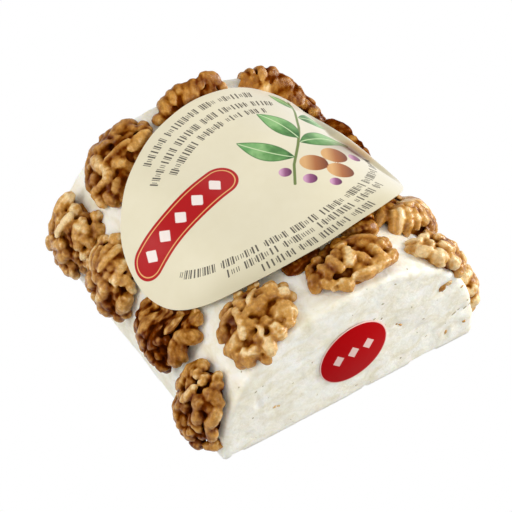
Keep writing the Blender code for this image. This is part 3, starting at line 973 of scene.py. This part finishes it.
def makeWalnut(name, material):
    across, along, heading, length, width, height, brown, span = walnutHalves[name]
    node, size = "walnut_" + name, (length, width, height)
    draw = random.Random(node + " lumps")
    folds = [layFold(*row) for row in walnutFolds.get(name, [])] or seededFolds(node, length, width)
    pits, gaps = walnutPits.get(name, []), walnutGaps.get(name, [])
    fillBare(folds, pits, gaps, length, width, draw)
    half = meltFolds(folds, size, gaps, draw)
    u, v, h = readPoints(half.data).T
    sunk = np.zeros(len(h))
    for pitU, pitV, radius in pits:
        weight = bell(((u / mm - pitU) ** 2 + (v / mm - pitV) ** 2) / radius ** 2, walnutLook["pitPower"])
        h = h - walnutLook["pitDepth"] * weight * np.clip(h / (height * mm), 0, 1)
        sunk = np.maximum(sunk, weight)
    seen = h > walnutLook["skin"]["seenFrom"]
    # the skin's tone, with painted shade in its creases, pits and low places
    storeShade(half.data, "toneAndShade", skinToneAndShade(half.data, folds, size, sunk, seen, brown, span))
    turn = math.radians(heading)
    placeAcross = across * mm + u * math.cos(turn) - v * math.sin(turn)
    placeAlong = along * mm + u * math.sin(turn) + v * math.cos(turn)
    h = np.maximum(h, walnutLook["underside"]) - walnutLook["sink"]
    h = underLabel(name, h, placeAcross, placeAlong)
    writePoints(half.data, overLoaf(placeAcross, placeAlong, h))
    pickOnly(half)
    bpy.ops.object.shade_smooth()
    return finishPiece(half, node + "_kernel", material, "walnut", node)


kernelSkin = walnutMaterial()
for walnutName in walnutHalves:
    made = makeWalnut(walnutName, kernelSkin)
    print(walnutName, "made,", len(made.data.polygons), "faces")


# Crumbs of walnut in the paste

# on the front end: across, up, length, width, turn in degrees, how far it stands out, and tone
frontBits = [
    (42.2, 37.4, 4.0, 3.4, 60, 0.6, 0.30), (45.0, 38.9, 3.6, 2.8, 30, 0.5, 0.14),
    (20.6, 29.9, 2.2, 1.3, -45, 0.10, 0.16), (22.4, 28.4, 2.4, 1.2, -50, 0.10, 0.20),
    (46.0, 8.4, 1.5, 3.0, -10, 0.15, 0.22), (-36.2, 17.9, 2.0, 1.6, 15, 0.2, 0.16),
    (-34.6, 17.4, 1.6, 1.2, -20, 0.15, 0.08), (54.6, 10.2, 2.0, 1.6, 20, 0.15, 0.18),
    (51.8, 32.8, 1.8, 0.8, 10, 0.1, 0.24),
]
# thin flecks of dark skin on the front end
frontFlecks = [
    (49.4, 17.8, 2.6, 0.7, 20), (51.8, 18.6, 1.6, 0.7, 35), (54.6, 18.4, 2.0, 0.8, 30),
    (56.8, 18.9, 1.6, 0.6, 40), (55.4, 22.6, 1.2, 0.6, -30), (12.8, 47.3, 1.3, 0.8, 0),
    (18.4, 55.0, 1.2, 0.7, -35), (9.0, 41.0, 1.1, 0.7, 20), (12.6, 38.8, 1.0, 1.2, 0),
    (2.0, 5.2, 1.3, 0.7, 0), (23.7, 7.4, 0.9, 1.1, 0), (-45.0, 33.4, 1.3, 0.6, 35),
    (-46.4, 18.4, 0.9, 0.8, 45), (-41.8, 34.6, 0.6, 0.6, 0), (-19.4, 33.8, 0.9, 0.5, 50),
    (-28.0, 27.0, 0.7, 0.5, 0), (26.8, 36.8, 0.5, 0.9, 0), (36.0, 12.5, 1.4, 0.5, 15),
    (-52.0, 40.0, 0.8, 0.5, 20), (33.4, 25.4, 1.2, 0.4, 10),
]
crumbLook = {
    "roughness": 0.38,
    "roughGrain": 1.6,          # how many lumps there are across a crumb
    "bitSunk": 0.35,            # how much of a bit's width is in the cheese
    "bitToneSpread": 0.06,
    "frontFleckStands": 0.3,    # thickness in mm, half of it in the cheese
    "flecks": 80,
    "fleckSize": (0.35, 0.8),
    "fleckWidth": (0.4, 0.9),
    "fleckStands": 0.2,
    "atEnds": 0.4,              # the share of the flecks that lie in the two ends
    "overShare": 0.97,
    "clearOfBase": 1.5 * mm,
    "veiledSkin": "#B3A98A",
}


def nugget(pattern, place, normal, along, size, draw):
    # a copy of the round pattern, squashed to its size, roughened and set into the surface
    crumb = copyOf(pattern)
    normal = normal.normalized()
    along = (along - normal * along.dot(normal)).normalized()
    aside = normal.cross(along)
    shift = Vector([draw.uniform(0, 99) for _ in range(3)])
    for vertex in crumb.data.vertices:
        lump = noise.noise(vertex.co * crumbLook["roughGrain"] + shift)
        rough = vertex.co.normalized() * (1 + crumbLook["roughness"] * lump)
        vertex.co = place + (along * rough.x * size[0] + aside * rough.y * size[1]
                             + normal * rough.z * size[2]) * mm / 2
    return crumb


def surfaceFinder(cheese):
    # gives a function that finds the cheese's own point nearest to a place, and its normal
    tree = kdtree.KDTree(len(cheese.data.vertices))
    for vertex in cheese.data.vertices:
        tree.insert(vertex.co, vertex.index)
    tree.balance()

    def onCheese(place):
        _, index, _ = tree.find(place)
        vertex = cheese.data.vertices[index]
        return vertex.co.copy(), vertex.normal.copy()

    return onCheese


def onFront(onCheese, across, up, turn):
    # a place on the front end, the way out of it and the way that a crumb lies along it
    place, normal = onCheese(Vector((across * mm, -loafLength / 2, up * mm)))
    turn = math.radians(turn)
    return Vector((across * mm, place.y, up * mm)), normal, Vector((math.cos(turn), 0, math.sin(turn)))


def chanceSpot(onCheese, draw):
    # a place and its normal on the ends or over the loaf, or nothing where that is covered
    across = draw.uniform(-crumbLook["overShare"], crumbLook["overShare"]) * halfOutline
    along = draw.uniform(-0.5, 0.5) * loafLength
    atEnd = draw.random() < crumbLook["atEnds"]
    if not atEnd and labelShare(*labelFrame(across, along)) < 1:
        return None
    place = Vector(overLoaf(np.array(across), np.array(along), np.array(0.0)))
    if atEnd:
        right = place.x * draw.random()
        end = draw.choice((-0.5, 0.5)) * loafLength
        place = Vector((right, end, place.z * draw.random()))
    place, normal = onCheese(place)
    return None if place.z < crumbLook["clearOfBase"] else (place, normal)


def makeCrumbs(cheese, skin):
    draw = random.Random("crumbs")
    onCheese = surfaceFinder(cheese)
    deselectAll()
    bpy.ops.mesh.primitive_ico_sphere_add(subdivisions=3, radius=1.0)
    pattern = bpy.context.object
    bits, flecks = [], []
    for across, up, long, wide, turn, stand, _ in frontBits:
        place, normal, way = onFront(onCheese, across, up, turn)
        place = place + normal * (stand - crumbLook["bitSunk"] * min(long, wide)) * mm
        bits.append(nugget(pattern, place, normal, way, (long, wide, min(long, wide)), draw))
    for across, up, long, wide, turn in frontFlecks:
        size = (long, wide, crumbLook["frontFleckStands"])
        flecks.append(nugget(pattern, *onFront(onCheese, across, up, turn), size, draw))
    while len(flecks) < len(frontFlecks) + crumbLook["flecks"]:
        spot = chanceSpot(onCheese, draw)
        if spot is None:
            continue
        way = Vector([draw.uniform(-1, 1) for _ in range(3)])
        long = draw.uniform(*crumbLook["fleckSize"])
        size = (long, long * draw.uniform(*crumbLook["fleckWidth"]), crumbLook["fleckStands"])
        flecks.append(nugget(pattern, *spot, way, size, draw))
    bpy.data.objects.remove(pattern)
    spread = crumbLook["bitToneSpread"]
    for bit, (*_, tone) in zip(bits, frontBits):
        storeShade(bit.data, "toneAndShade", [tone + draw.uniform(-spread, spread) for _ in bit.data.vertices])
    # Flecks of walnut skin ground into the paste: brown, dulled by the film of cheese over them.
    veiled, _ = startMaterial("veiledSkinFlecks", {"Base Color": crumbLook["veiledSkin"], "Roughness": 0.5})
    for pieces, name, material in ((bits, "walnut_crumbs", skin), (flecks, "skin_flecks", veiled)):
        joined = joinPieces(pieces)
        bpy.ops.object.shade_smooth()
        finishPiece(joined, name, material, "walnut")


makeCrumbs(cheeseLoaf, kernelSkin)
print("crumbs made")


# The label

paperLook = {
    # the fold line, as read: how far along the label it lies at each place across it, in mm,
    # and how sharp the fold is there
    "foldAcross": (-37.0, -30.0, -22.5, -13.5, -8.0, 0.0, 12.0, 23.5),
    "foldAlong": (42.8, 45.6, 46.3, 44.8, 44.0, 43.8, 51.8, 57.0),
    "foldSharp": (0.0, 0.6, 0.9, 1.0, 1.0, 1.0, 0.8, 0.0),
    "rise": 2.1 * mm,          # the paper stands up past the fold
    "reachPast": 6 * mm,
    "ridge": 0.25 * mm,        # and swells a little before it
    "ridgeAt": -7 * mm,
    "ridgeReach": 3.5 * mm,
    "dip": 0.15 * mm,
    "dipReach": 1.6 * mm,
    "brownMiddle": -12.0,      # where along the fold the painted brown shadow lies, partly the walnut under it showing through, in mm
    "brownHalf": 6.5,
    "brownPower": 4,           # even all along, with short ends
    "brownAt": 0.4 * mm,
    "brownInner": 9.5 * mm,    # it fades slowly before the fold and fast past it
    "brownOuter": 2.6 * mm,
    "brownFade": 1.6,          # the power of that fading
    "tanFrom": 1.2 * mm,       # painted shade on the paper past the fold, up to where it bends away
    "tanEdge": 1.4 * mm,
    "tanTo": 9.0 * mm,
    "tanFade": 4.0 * mm,
    "tanSharp": 1.4,           # how soon a growing fold has its whole shade
    "strongest": 0.95,
    # where the painted light at the right end and the painted shade along the near rim start, and over what
    # way they grow
    "rightEnd": (12, 33),
    "nearRimShade": (0.78, 0.18),   # these two as shares of the way to the rim, the others in mm
    "nearSide": (8, 16),
    "nearEnds": (42, 26),
    # the slight waves of the whole paper
    "waveDepth": 0.16 * mm,
    "waveLong": 23 * mm,
    "slantLong": 9 * mm,
    "waveCross": 31 * mm,
    "slantCross": 14 * mm,
    # its cream, clouded by the wash, and the tones of the painted light and shade on it
    "cream": ("#E0D7B9", "#E5DDC2"),
    "wash": 5 * mm,
    "endLightTone": "#D8D2C1",
    "rimShadeTone": "#D2C9AA",
    "foldShadeTones": ("#AFA586", "#B99B6E"),
    "foldShadowTone": "#5A3022",
}

# the generic print, laid out in the label's long and cross ways in mm
printLook = {
    "band": ((-52.5, 10.2), (-14.0, 6.3), 7.3),         # from, to and half width
    "bandLine": (1.15, 1.6),                            # how deep in the band the gold line lies
    "lozenges": 5,
    "lozengeSpacing": 8.6,
    "lozengeHalf": (2.7, 3.6),
    "stem": [(3.0, -17.0), (11.0, -9.0), (22.0, -1.0), (33.0, 8.0), (43.0, 18.0), (50.0, 26.0)],
    "stemHalfWidth": 0.55,
    "leaves": [
        # base, tip, half width, bend
        ((15.0, -6.0), (5.0, 16.0), 5.2, 1.2),
        ((26.0, 2.0), (24.5, 23.5), 5.6, -1.6),
        ((40.0, 14.0), (55.0, 4.0), 4.8, 1.2),
        ((45.0, 20.0), (42.5, 32.0), 3.2, -1.0),
        ((24.0, 0.0), (46.0, -9.0), 5.4, 1.8),
    ],
    "leafTaper": 0.5,          # how much narrower a leaf's tip is than its base
    "litWay": (-0.7, 0.7),     # the lit side of a round fruit: left and back
    "nuts": [(17.5, -13.0, 5.4), (28.6, -13.6, 5.2), (22.0, -22.4, 5.2)],    # place and radius
    "berries": [(36.2, -17.8, 2.5), (14.6, -26.6, 2.3), (9.0, -19.0, 2.7), (5.5, -9.6, 2.5)],
    "red": "#B00006",
    "gold": "#E8B070",
    "pale": "#F1E4DC",
    "stemInk": "#6E7F45",
    "leafRibInk": "#C4D9A8",
    "leafRimInk": "#4C7A43",
    "leafTones": [(0.0, "#2F5A2C"), (0.35, "#5E9150"), (0.65, "#8DB978"), (1.0, "#5B9A55")],
    "nutTones": [(0.0, "#6B2F16"), (0.45, "#A9683A"), (0.8, "#D9A970")],
    "berryTones": [(0.0, "#5C2A4E"), (0.5, "#94567F"), (0.85, "#D2A0BE")],
}

printRows = [
    # side of the label, distance from the rim in mm, from and to what turn round it in degrees
    (1, 5.6, 113, 52), (1, 12.0, 121, 46), (1, 17.6, 115, 52),
    (-1, 3.8, -76, -126), (-1, 8.5, -60, -139), (-1, 12.9, -28, -169),
]
printMarks = {
    "height": 3.3 * mm,
    "thick": 0.60 * mm,
    "thin": 0.28 * mm,
    "spacing": 1.95 * mm,
    "aside": 0.42 * mm,       # how far the bars of a pair stand from its middle
    "short": 0.62,            # height of the low bars, as a share of the others
    "wordLength": (3, 9),
    "wordGap": 1.6 * mm,
    "pathSteps": 400,
    "stands": 0.04 * mm,      # the ink over the paper
    "ink": "#5A5346",
}


def creasePast(longWay, crossWay):
    # how far past the label's fold line a place lies, and how sharp the fold is there
    foldAlong = np.interp(crossWay / mm, paperLook["foldAcross"], paperLook["foldAlong"]) * mm
    sharp = np.interp(crossWay / mm, paperLook["foldAcross"], paperLook["foldSharp"])
    return longWay - foldAlong, sharp


def paperHeight(across, along):
    # the label's underside with its fold and its slight waves
    look = paperLook
    longWay, crossWay = labelFrame(across, along)
    past, sharp = creasePast(longWay, crossWay)
    fold = (look["rise"] * smoothStep(np.clip(past / look["reachPast"], 0, 1))
            + look["ridge"] * bell((past - look["ridgeAt"]) / look["ridgeReach"])
            - look["dip"] * bell(past / look["dipReach"]))
    waves = (np.sin(longWay * 2 * math.pi / look["waveLong"] + crossWay / look["slantLong"])
             + np.sin(crossWay * 2 * math.pi / look["waveCross"] - longWay / look["slantCross"]))
    return labelHeight(across, along) + fold * sharp + look["waveDepth"] * waves


def insideBar(longWay, crossWay, start, end, halfWidth):
    # depth inside a straight bar with round ends, in mm, and the place along and across it
    start, end = Vector(start), Vector(end)
    way = (end - start).normalized()
    along = (longWay - start.x) * way.x + (crossWay - start.y) * way.y
    aside = (crossWay - start.y) * way.x - (longWay - start.x) * way.y
    over = along - np.clip(along, 0, (end - start).length)
    return halfWidth - np.hypot(over, aside), along - (end - start).length / 2, aside


def insideLozenges(along, aside):
    # depth inside the nearest lozenge of the band's row
    reach, spacing = (printLook["lozenges"] - 1) / 2, printLook["lozengeSpacing"]
    halfLong, halfCross = printLook["lozengeHalf"]
    nearest = np.clip(np.round(along / spacing), -reach, reach) * spacing
    return 1 - np.abs(along - nearest) / halfLong - np.abs(aside) / halfCross


def insideLeaf(longWay, crossWay, base, tip, halfWidth, bend):
    # depth inside a leaf, how far towards its tip and how far beside its rib
    _, along, aside = insideBar(longWay, crossWay, base, tip, 0.0)
    share = along / (Vector(tip) - Vector(base)).length + 0.5
    bulge = 1 - (2 * share - 1) ** 2
    aside = aside - bend * bulge
    taper = 1 + printLook["leafTaper"] * (0.5 - np.clip(share, 0, 1))
    return halfWidth * bulge * taper - np.abs(aside), share, aside


def insideDisc(longWay, crossWay, centreLong, centreCross, radius):
    # depth inside a disc, and how far towards its lit side
    right, back = longWay - centreLong, crossWay - centreCross
    litLong, litCross = printLook["litWay"]
    return radius - np.hypot(right, back), (right * litLong + back * litCross) / radius


def deepest(shapes):
    # for each place, the numbers of the shape that it lies deepest in
    shapes = np.array(shapes)
    best = shapes[:, 0].argmax(axis=0)
    return np.take_along_axis(shapes, best[None, None, :], axis=0)[0]


def storePrint(mesh, longWay, crossWay):
    # the print's shapes as depths in mm, and the painted light and shade on the paper, all read by its
    # material
    past, sharp = creasePast(longWay, crossWay)
    share = labelShare(longWay, crossWay)
    longWay, crossWay = longWay / mm, crossWay / mm

    def grow(value, start, reach):
        return np.clip((value - start) / reach, 0, 1)

    look = paperLook
    # where along the fold its painted shadow lies
    foldShadowSpread = bell((crossWay - look["brownMiddle"]) / look["brownHalf"], look["brownPower"])
    tan = grow(past, look["tanFrom"] * foldShadowSpread, look["tanEdge"])
    tan = tan * np.clip((look["tanTo"] - past) / look["tanFade"], 0, 1)
    fromBrown = past - look["brownAt"]
    brownReach = np.where(fromBrown < 0, look["brownInner"], look["brownOuter"])
    nearEnds, nearFade = look["nearEnds"]
    nearRimShade = grow(share, *look["nearRimShade"]) * grow(-crossWay, *look["nearSide"])
    stem = [insideBar(longWay, crossWay, start, end, printLook["stemHalfWidth"])[0]
            for start, end in zip(printLook["stem"], printLook["stem"][1:])]
    bandDepth, along, aside = insideBar(longWay, crossWay, *printLook["band"])
    leafDepth, toTip, beside = deepest([insideLeaf(longWay, crossWay, *leaf) for leaf in printLook["leaves"]])
    nutDepth, nutLight = deepest([insideDisc(longWay, crossWay, *nut) for nut in printLook["nuts"]])
    berryDepth, berryLight = deepest([insideDisc(longWay, crossWay, *disc) for disc in printLook["berries"]])
    shades = {
        "pastFoldShade": look["strongest"] * tan * np.minimum(sharp * look["tanSharp"], 1),
        "foldTan": foldShadowSpread,
        "foldShadowThrough": look["strongest"] * foldShadowSpread * bell(fromBrown / brownReach, look["brownFade"]),
        "rightEnd": grow(longWay, *look["rightEnd"]),
        "nearRimShade": nearRimShade * np.clip((nearEnds - longWay) / nearFade, 0, 1),
        "bandDepth": bandDepth,
        "lozengeDepth": insideLozenges(along, aside),
        "leafDepth": leafDepth, "leafToTip": toTip, "leafBeside": beside,
        "stemDepth": np.max(stem, axis=0),
        "nutDepth": nutDepth, "nutLight": nutLight,
        "berryDepth": berryDepth, "berryLight": berryLight,
    }
    for name, values in shades.items():
        storeShade(mesh, name, values)
    return list(shades)


def leafInks(tree, shade, wash):
    # watercolour greens, blotched by the wash, with a pale rib and a darker rim
    blotches = addNode(tree, "Math", {0: wash, 1: 0.9, 2: -0.45}, operation="MULTIPLY_ADD")
    toTip = addNode(tree, "Math", {0: shade["leafToTip"], 1: blotches}, operation="ADD")
    ink = addNode(tree, "ValToRGB", {"Fac": toTip}, stops=printLook["leafTones"])
    beside = addNode(tree, "Math", {0: shade["leafBeside"]}, operation="ABSOLUTE")
    ink = printOver(tree, printLook["leafRibInk"], ink, beside, 0.28)
    return printOver(tree, printLook["leafRimInk"], ink, shade["leafDepth"], 0.45, 0.4)


def fruitInks(tree, lightness, stops):
    # the tones of a round nut or berry, from its dark side to its lit side
    lit = addNode(tree, "MapRange", {"Value": lightness, "From Min": -1.0})
    return addNode(tree, "ValToRGB", {"Fac": lit}, stops=stops)


def bandInks(tree, shade):
    # red with a thin gold line inside its rim and pale lozenges along it
    lineFrom, lineTo = printLook["bandLine"]
    ink = printOver(tree, printLook["red"], printLook["gold"], shade["bandDepth"], lineFrom)
    ink = printOver(tree, ink, printLook["red"], shade["bandDepth"], lineTo)
    return printOver(tree, ink, printLook["pale"], shade["lozengeDepth"], softness=0.05)


def labelMaterial(shadeNames):
    # Coated label paper, offset printed: cream with a soft sheen, a red band, and a sprig in
    # watercolour greens, ochres and purples.
    material, tree = startMaterial("coatedCreamPaper", {"Roughness": 0.30})
    shade = {name: addNode(tree, "Attribute", output="Fac", attribute_name=name) for name in shadeNames}
    wash = addNode(tree, "TexNoise", {"Vector": addNode(tree, "TexCoord", output="Object"),
                                      "Scale": 1 / paperLook["wash"], "Detail": 4.0})
    ink = printOver(tree, *paperLook["cream"], wash, *gradual)
    # painted light turns the right end a greyer cream, and painted shade darkens the near rim, where the
    # paper curves away
    ink = printOver(tree, ink, paperLook["endLightTone"], shade["rightEnd"], *gradual)
    ink = printOver(tree, ink, paperLook["rimShadeTone"], shade["nearRimShade"], *gradual)
    ink = printOver(tree, ink, printLook["stemInk"], shade["stemDepth"])
    ink = printOver(tree, ink, leafInks(tree, shade, wash), shade["leafDepth"])
    for fruit in ("nut", "berry"):
        tones = fruitInks(tree, shade[fruit + "Light"], printLook[fruit + "Tones"])
        ink = printOver(tree, ink, tones, shade[fruit + "Depth"])
    ink = printOver(tree, ink, bandInks(tree, shade), shade["bandDepth"])

    # painted shade on the paper past the fold, and a painted dark brown shadow beside the fold, partly the
    # walnut under it showing through
    shaded = printOver(tree, *paperLook["foldShadeTones"], shade["foldTan"], *gradual)
    ink = printOver(tree, ink, shaded, shade["pastFoldShade"], *gradual)
    ink = printOver(tree, ink, paperLook["foldShadowTone"], shade["foldShadowThrough"], *gradual)
    # the fold's dark side faces the paper standing over it, so it has no sheen
    sheen = addNode(tree, "MapRange", {"Value": shade["foldShadowThrough"], "To Min": 0.28, "To Max": 0.0})
    return fillShader(material, {"Base Color": ink, "Specular IOR Level": sheen})


def makeLabel():
    deselectAll()
    cellsLong, cellsCross = label["gridCells"]
    bpy.ops.mesh.primitive_grid_add(x_subdivisions=cellsLong, y_subdivisions=cellsCross, size=2.0)
    paper = bpy.context.object
    points = readPoints(paper.data)
    # the square grid is drawn into a round one, and that into the oval
    x, y = points[:, 0], points[:, 1]
    roundX = x * np.sqrt(1 - y * y / 2)
    roundY = y * np.sqrt(1 - x * x / 2)
    longWay = roundX * label["halfLength"]
    halfWidth = np.where(roundY > 0, label["halfWidthFar"], label["halfWidthNear"])
    crossWay = roundY * halfWidth * (1 + label["egg"] * roundX)
    shadeNames = storePrint(paper.data, longWay, crossWay)
    across, along = labelPlace(longWay, crossWay)
    writePoints(paper.data, overLoaf(across, along, paperHeight(across, along)))
    applyModifier(paper, "SOLIDIFY", thickness=label["thickness"], offset=1.0)
    pickOnly(paper)
    bpy.ops.object.shade_smooth_by_angle(angle=math.radians(50))
    return finishPiece(paper, "paper_label", labelMaterial(shadeNames), "label_paper", "label")


def rowPath(side, inset, fromTurn, toTurn):
    # a path at an even distance inside the rim: places, and its way along and its way up the page
    turns = np.radians(np.linspace(fromTurn, toTurn, printMarks["pathSteps"]))
    halfWidth = label["halfWidthFar"] if side > 0 else label["halfWidthNear"]
    rimLong = label["halfLength"] * np.cos(turns)
    rimCross = halfWidth * np.sin(turns) * (1 + label["egg"] * np.cos(turns))
    alongLong, alongCross = np.gradient(rimLong), np.gradient(rimCross)
    size = np.hypot(alongLong, alongCross)
    alongLong, alongCross = alongLong / size, alongCross / size
    # inwards is towards the label's middle
    turnIn = np.sign(rimLong * alongCross - rimCross * alongLong)
    return rimLong - alongCross * turnIn * inset, rimCross + alongLong * turnIn * inset, alongLong, alongCross


def marksOf(draw):
    # one meaningless mark of the greeked print: upright bars of uneven height and width, never touching
    thick, thin, tall = printMarks["thick"], printMarks["thin"], printMarks["height"]
    aside, short = printMarks["aside"], printMarks["short"] * tall
    return draw.choice((
        [(0.0, thick, -tall / 2, tall / 2)],
        [(-aside, thick, -tall / 2, tall / 2), (aside, thin, -tall / 2, tall / 2)],
        [(-aside, thin, -tall / 2, tall / 2), (aside, thick, -tall / 2, tall / 2)],
        [(-aside, thin, -short / 2, short / 2), (aside, thin, -short / 2, short / 2)],
        [(-aside, thick, -tall / 2, tall / 2), (aside, thin, -short / 2, short / 2)],
    ))


def makePrintRows():
    # greeked rows: one bar is modelled and copied along paths beside the rim
    deselectAll()
    bpy.ops.mesh.primitive_cube_add(size=1.0)
    pattern = bpy.context.object
    corners = readPoints(pattern.data)
    spacing = printMarks["spacing"]
    draw = random.Random("print rows")
    bars = []

    def setBar(centre, offset, width, low, high):
        # a copy of the bar on the paper, at a place of the row's path
        rowLong, rowCross, wayLong, wayCross = centre
        x = offset + corners[:, 0] * width
        y = (low + high) / 2 + corners[:, 1] * (high - low)
        across, along = labelPlace(rowLong + x * wayLong - y * wayCross,
                                   rowCross + x * wayCross + y * wayLong)
        stands = label["thickness"] + printMarks["stands"] * (corners[:, 2] * 2)
        bar = copyOf(pattern)
        writePoints(bar.data, overLoaf(across, along, paperHeight(across, along) + stands))
        bars.append(bar)

    for side, inset, fromTurn, toTurn in printRows:
        path = rowPath(side, inset * mm, fromTurn, toTurn)
        walk = np.concatenate([[0], np.cumsum(np.hypot(np.diff(path[0]), np.diff(path[1])))])
        here, untilGap = spacing / 2, draw.randint(*printMarks["wordLength"])
        while here < walk[-1] - spacing / 2:
            centre = [np.interp(here, walk, values) for values in path]
            for mark in marksOf(draw):
                setBar(centre, *mark)
            here += spacing
            untilGap -= 1
            if untilGap == 0:
                here += printMarks["wordGap"]
                untilGap = draw.randint(*printMarks["wordLength"])
    bpy.data.objects.remove(pattern)
    # Matt black-brown offset ink: a thin even film that takes on the paper's tone.
    material, _ = startMaterial("mattBlackInk", {"Base Color": printMarks["ink"], "Roughness": 0.5})
    return finishPiece(joinPieces(bars), "print_rows", material, "label_paper")


makeLabel()
makePrintRows()
print("label made")


# The seal on the front end

sealPrint = {
    "edge": 0.45 * mm,         # the bare paper round the red
    "edgeSoftness": 0.08 * mm,
    "spacing": 7.0 * mm,
    "count": 3,
    "halfLong": 2.6 * mm,
    "halfCross": 3.4 * mm,
    "tilt": math.radians(8),
    "red": "#B00006",
    "pale": "#E9C8BE",
    "bare": "#EFC9C0",
}


def sealMaterial(centre, radius):
    # Gloss-coated seal paper printed solid red up to a hair of bare paper at its edge, with
    # three plain lozenges left pale.
    material, tree = startMaterial("glossRedSealPaper", {"Roughness": 0.42, "Specular IOR Level": 0.02})
    place = addNode(tree, "TexCoord", output="Object")
    moved = addNode(tree, "Mapping", {"Vector": place, "Location": tuple(centre),
                                      "Rotation": (0, -sealPrint["tilt"], 0)}, vector_type="TEXTURE")
    # the lozenges: the places along their row start again at each one, and a lozenge is where the
    # distances along and across it, as shares of its own, come to less than 1
    half = sealPrint["spacing"] / 2
    around = addNode(tree, "VectorMath", {0: moved, 1: (half, 1, 1), 2: (-half, -1, -1)}, operation="WRAP")
    around = addNode(tree, "VectorMath", {0: around}, operation="ABSOLUTE")
    shares = (1 / sealPrint["halfLong"], 0, 1 / sealPrint["halfCross"])
    out = addNode(tree, "VectorMath", {0: around, 1: shares}, "Value", operation="DOT_PRODUCT")
    lozenge = addNode(tree, "Math", {0: out, 1: 1.0}, operation="LESS_THAN")
    right = addNode(tree, "SeparateXYZ", {"Vector": moved}, "X")
    inRow = addNode(tree, "Math", {0: right, 1: 0.0, 2: half * sealPrint["count"]}, operation="COMPARE")
    lozenge = addNode(tree, "Math", {0: lozenge, 1: inRow}, operation="MULTIPLY")
    red = printOver(tree, sealPrint["red"], sealPrint["pale"], lozenge, *gradual)
    fromCentre = addNode(tree, "VectorMath", {0: moved}, "Value", operation="LENGTH")
    ink = printOver(tree, red, sealPrint["bare"], fromCentre, radius - sealPrint["edge"],
                    sealPrint["edgeSoftness"])
    return fillShader(material, {"Base Color": ink})


def makeSeal():
    deselectAll()
    low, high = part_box("sticker")
    centre = (low + high) / 2
    radius = (high.x - low.x) / 2
    bpy.ops.mesh.primitive_cylinder_add(vertices=96, radius=radius, depth=high.y - low.y,
                                        location=centre, rotation=(math.pi / 2, 0, 0))
    seal = bpy.context.object
    bakePlace(seal)
    applyModifier(seal, "BEVEL", width=0.1 * mm, segments=2)
    bpy.ops.object.shade_smooth_by_angle(angle=math.radians(40))
    return finishPiece(seal, "red_seal", sealMaterial(centre, radius), "seal_paper", "sticker")


makeSeal()
print("seal made")
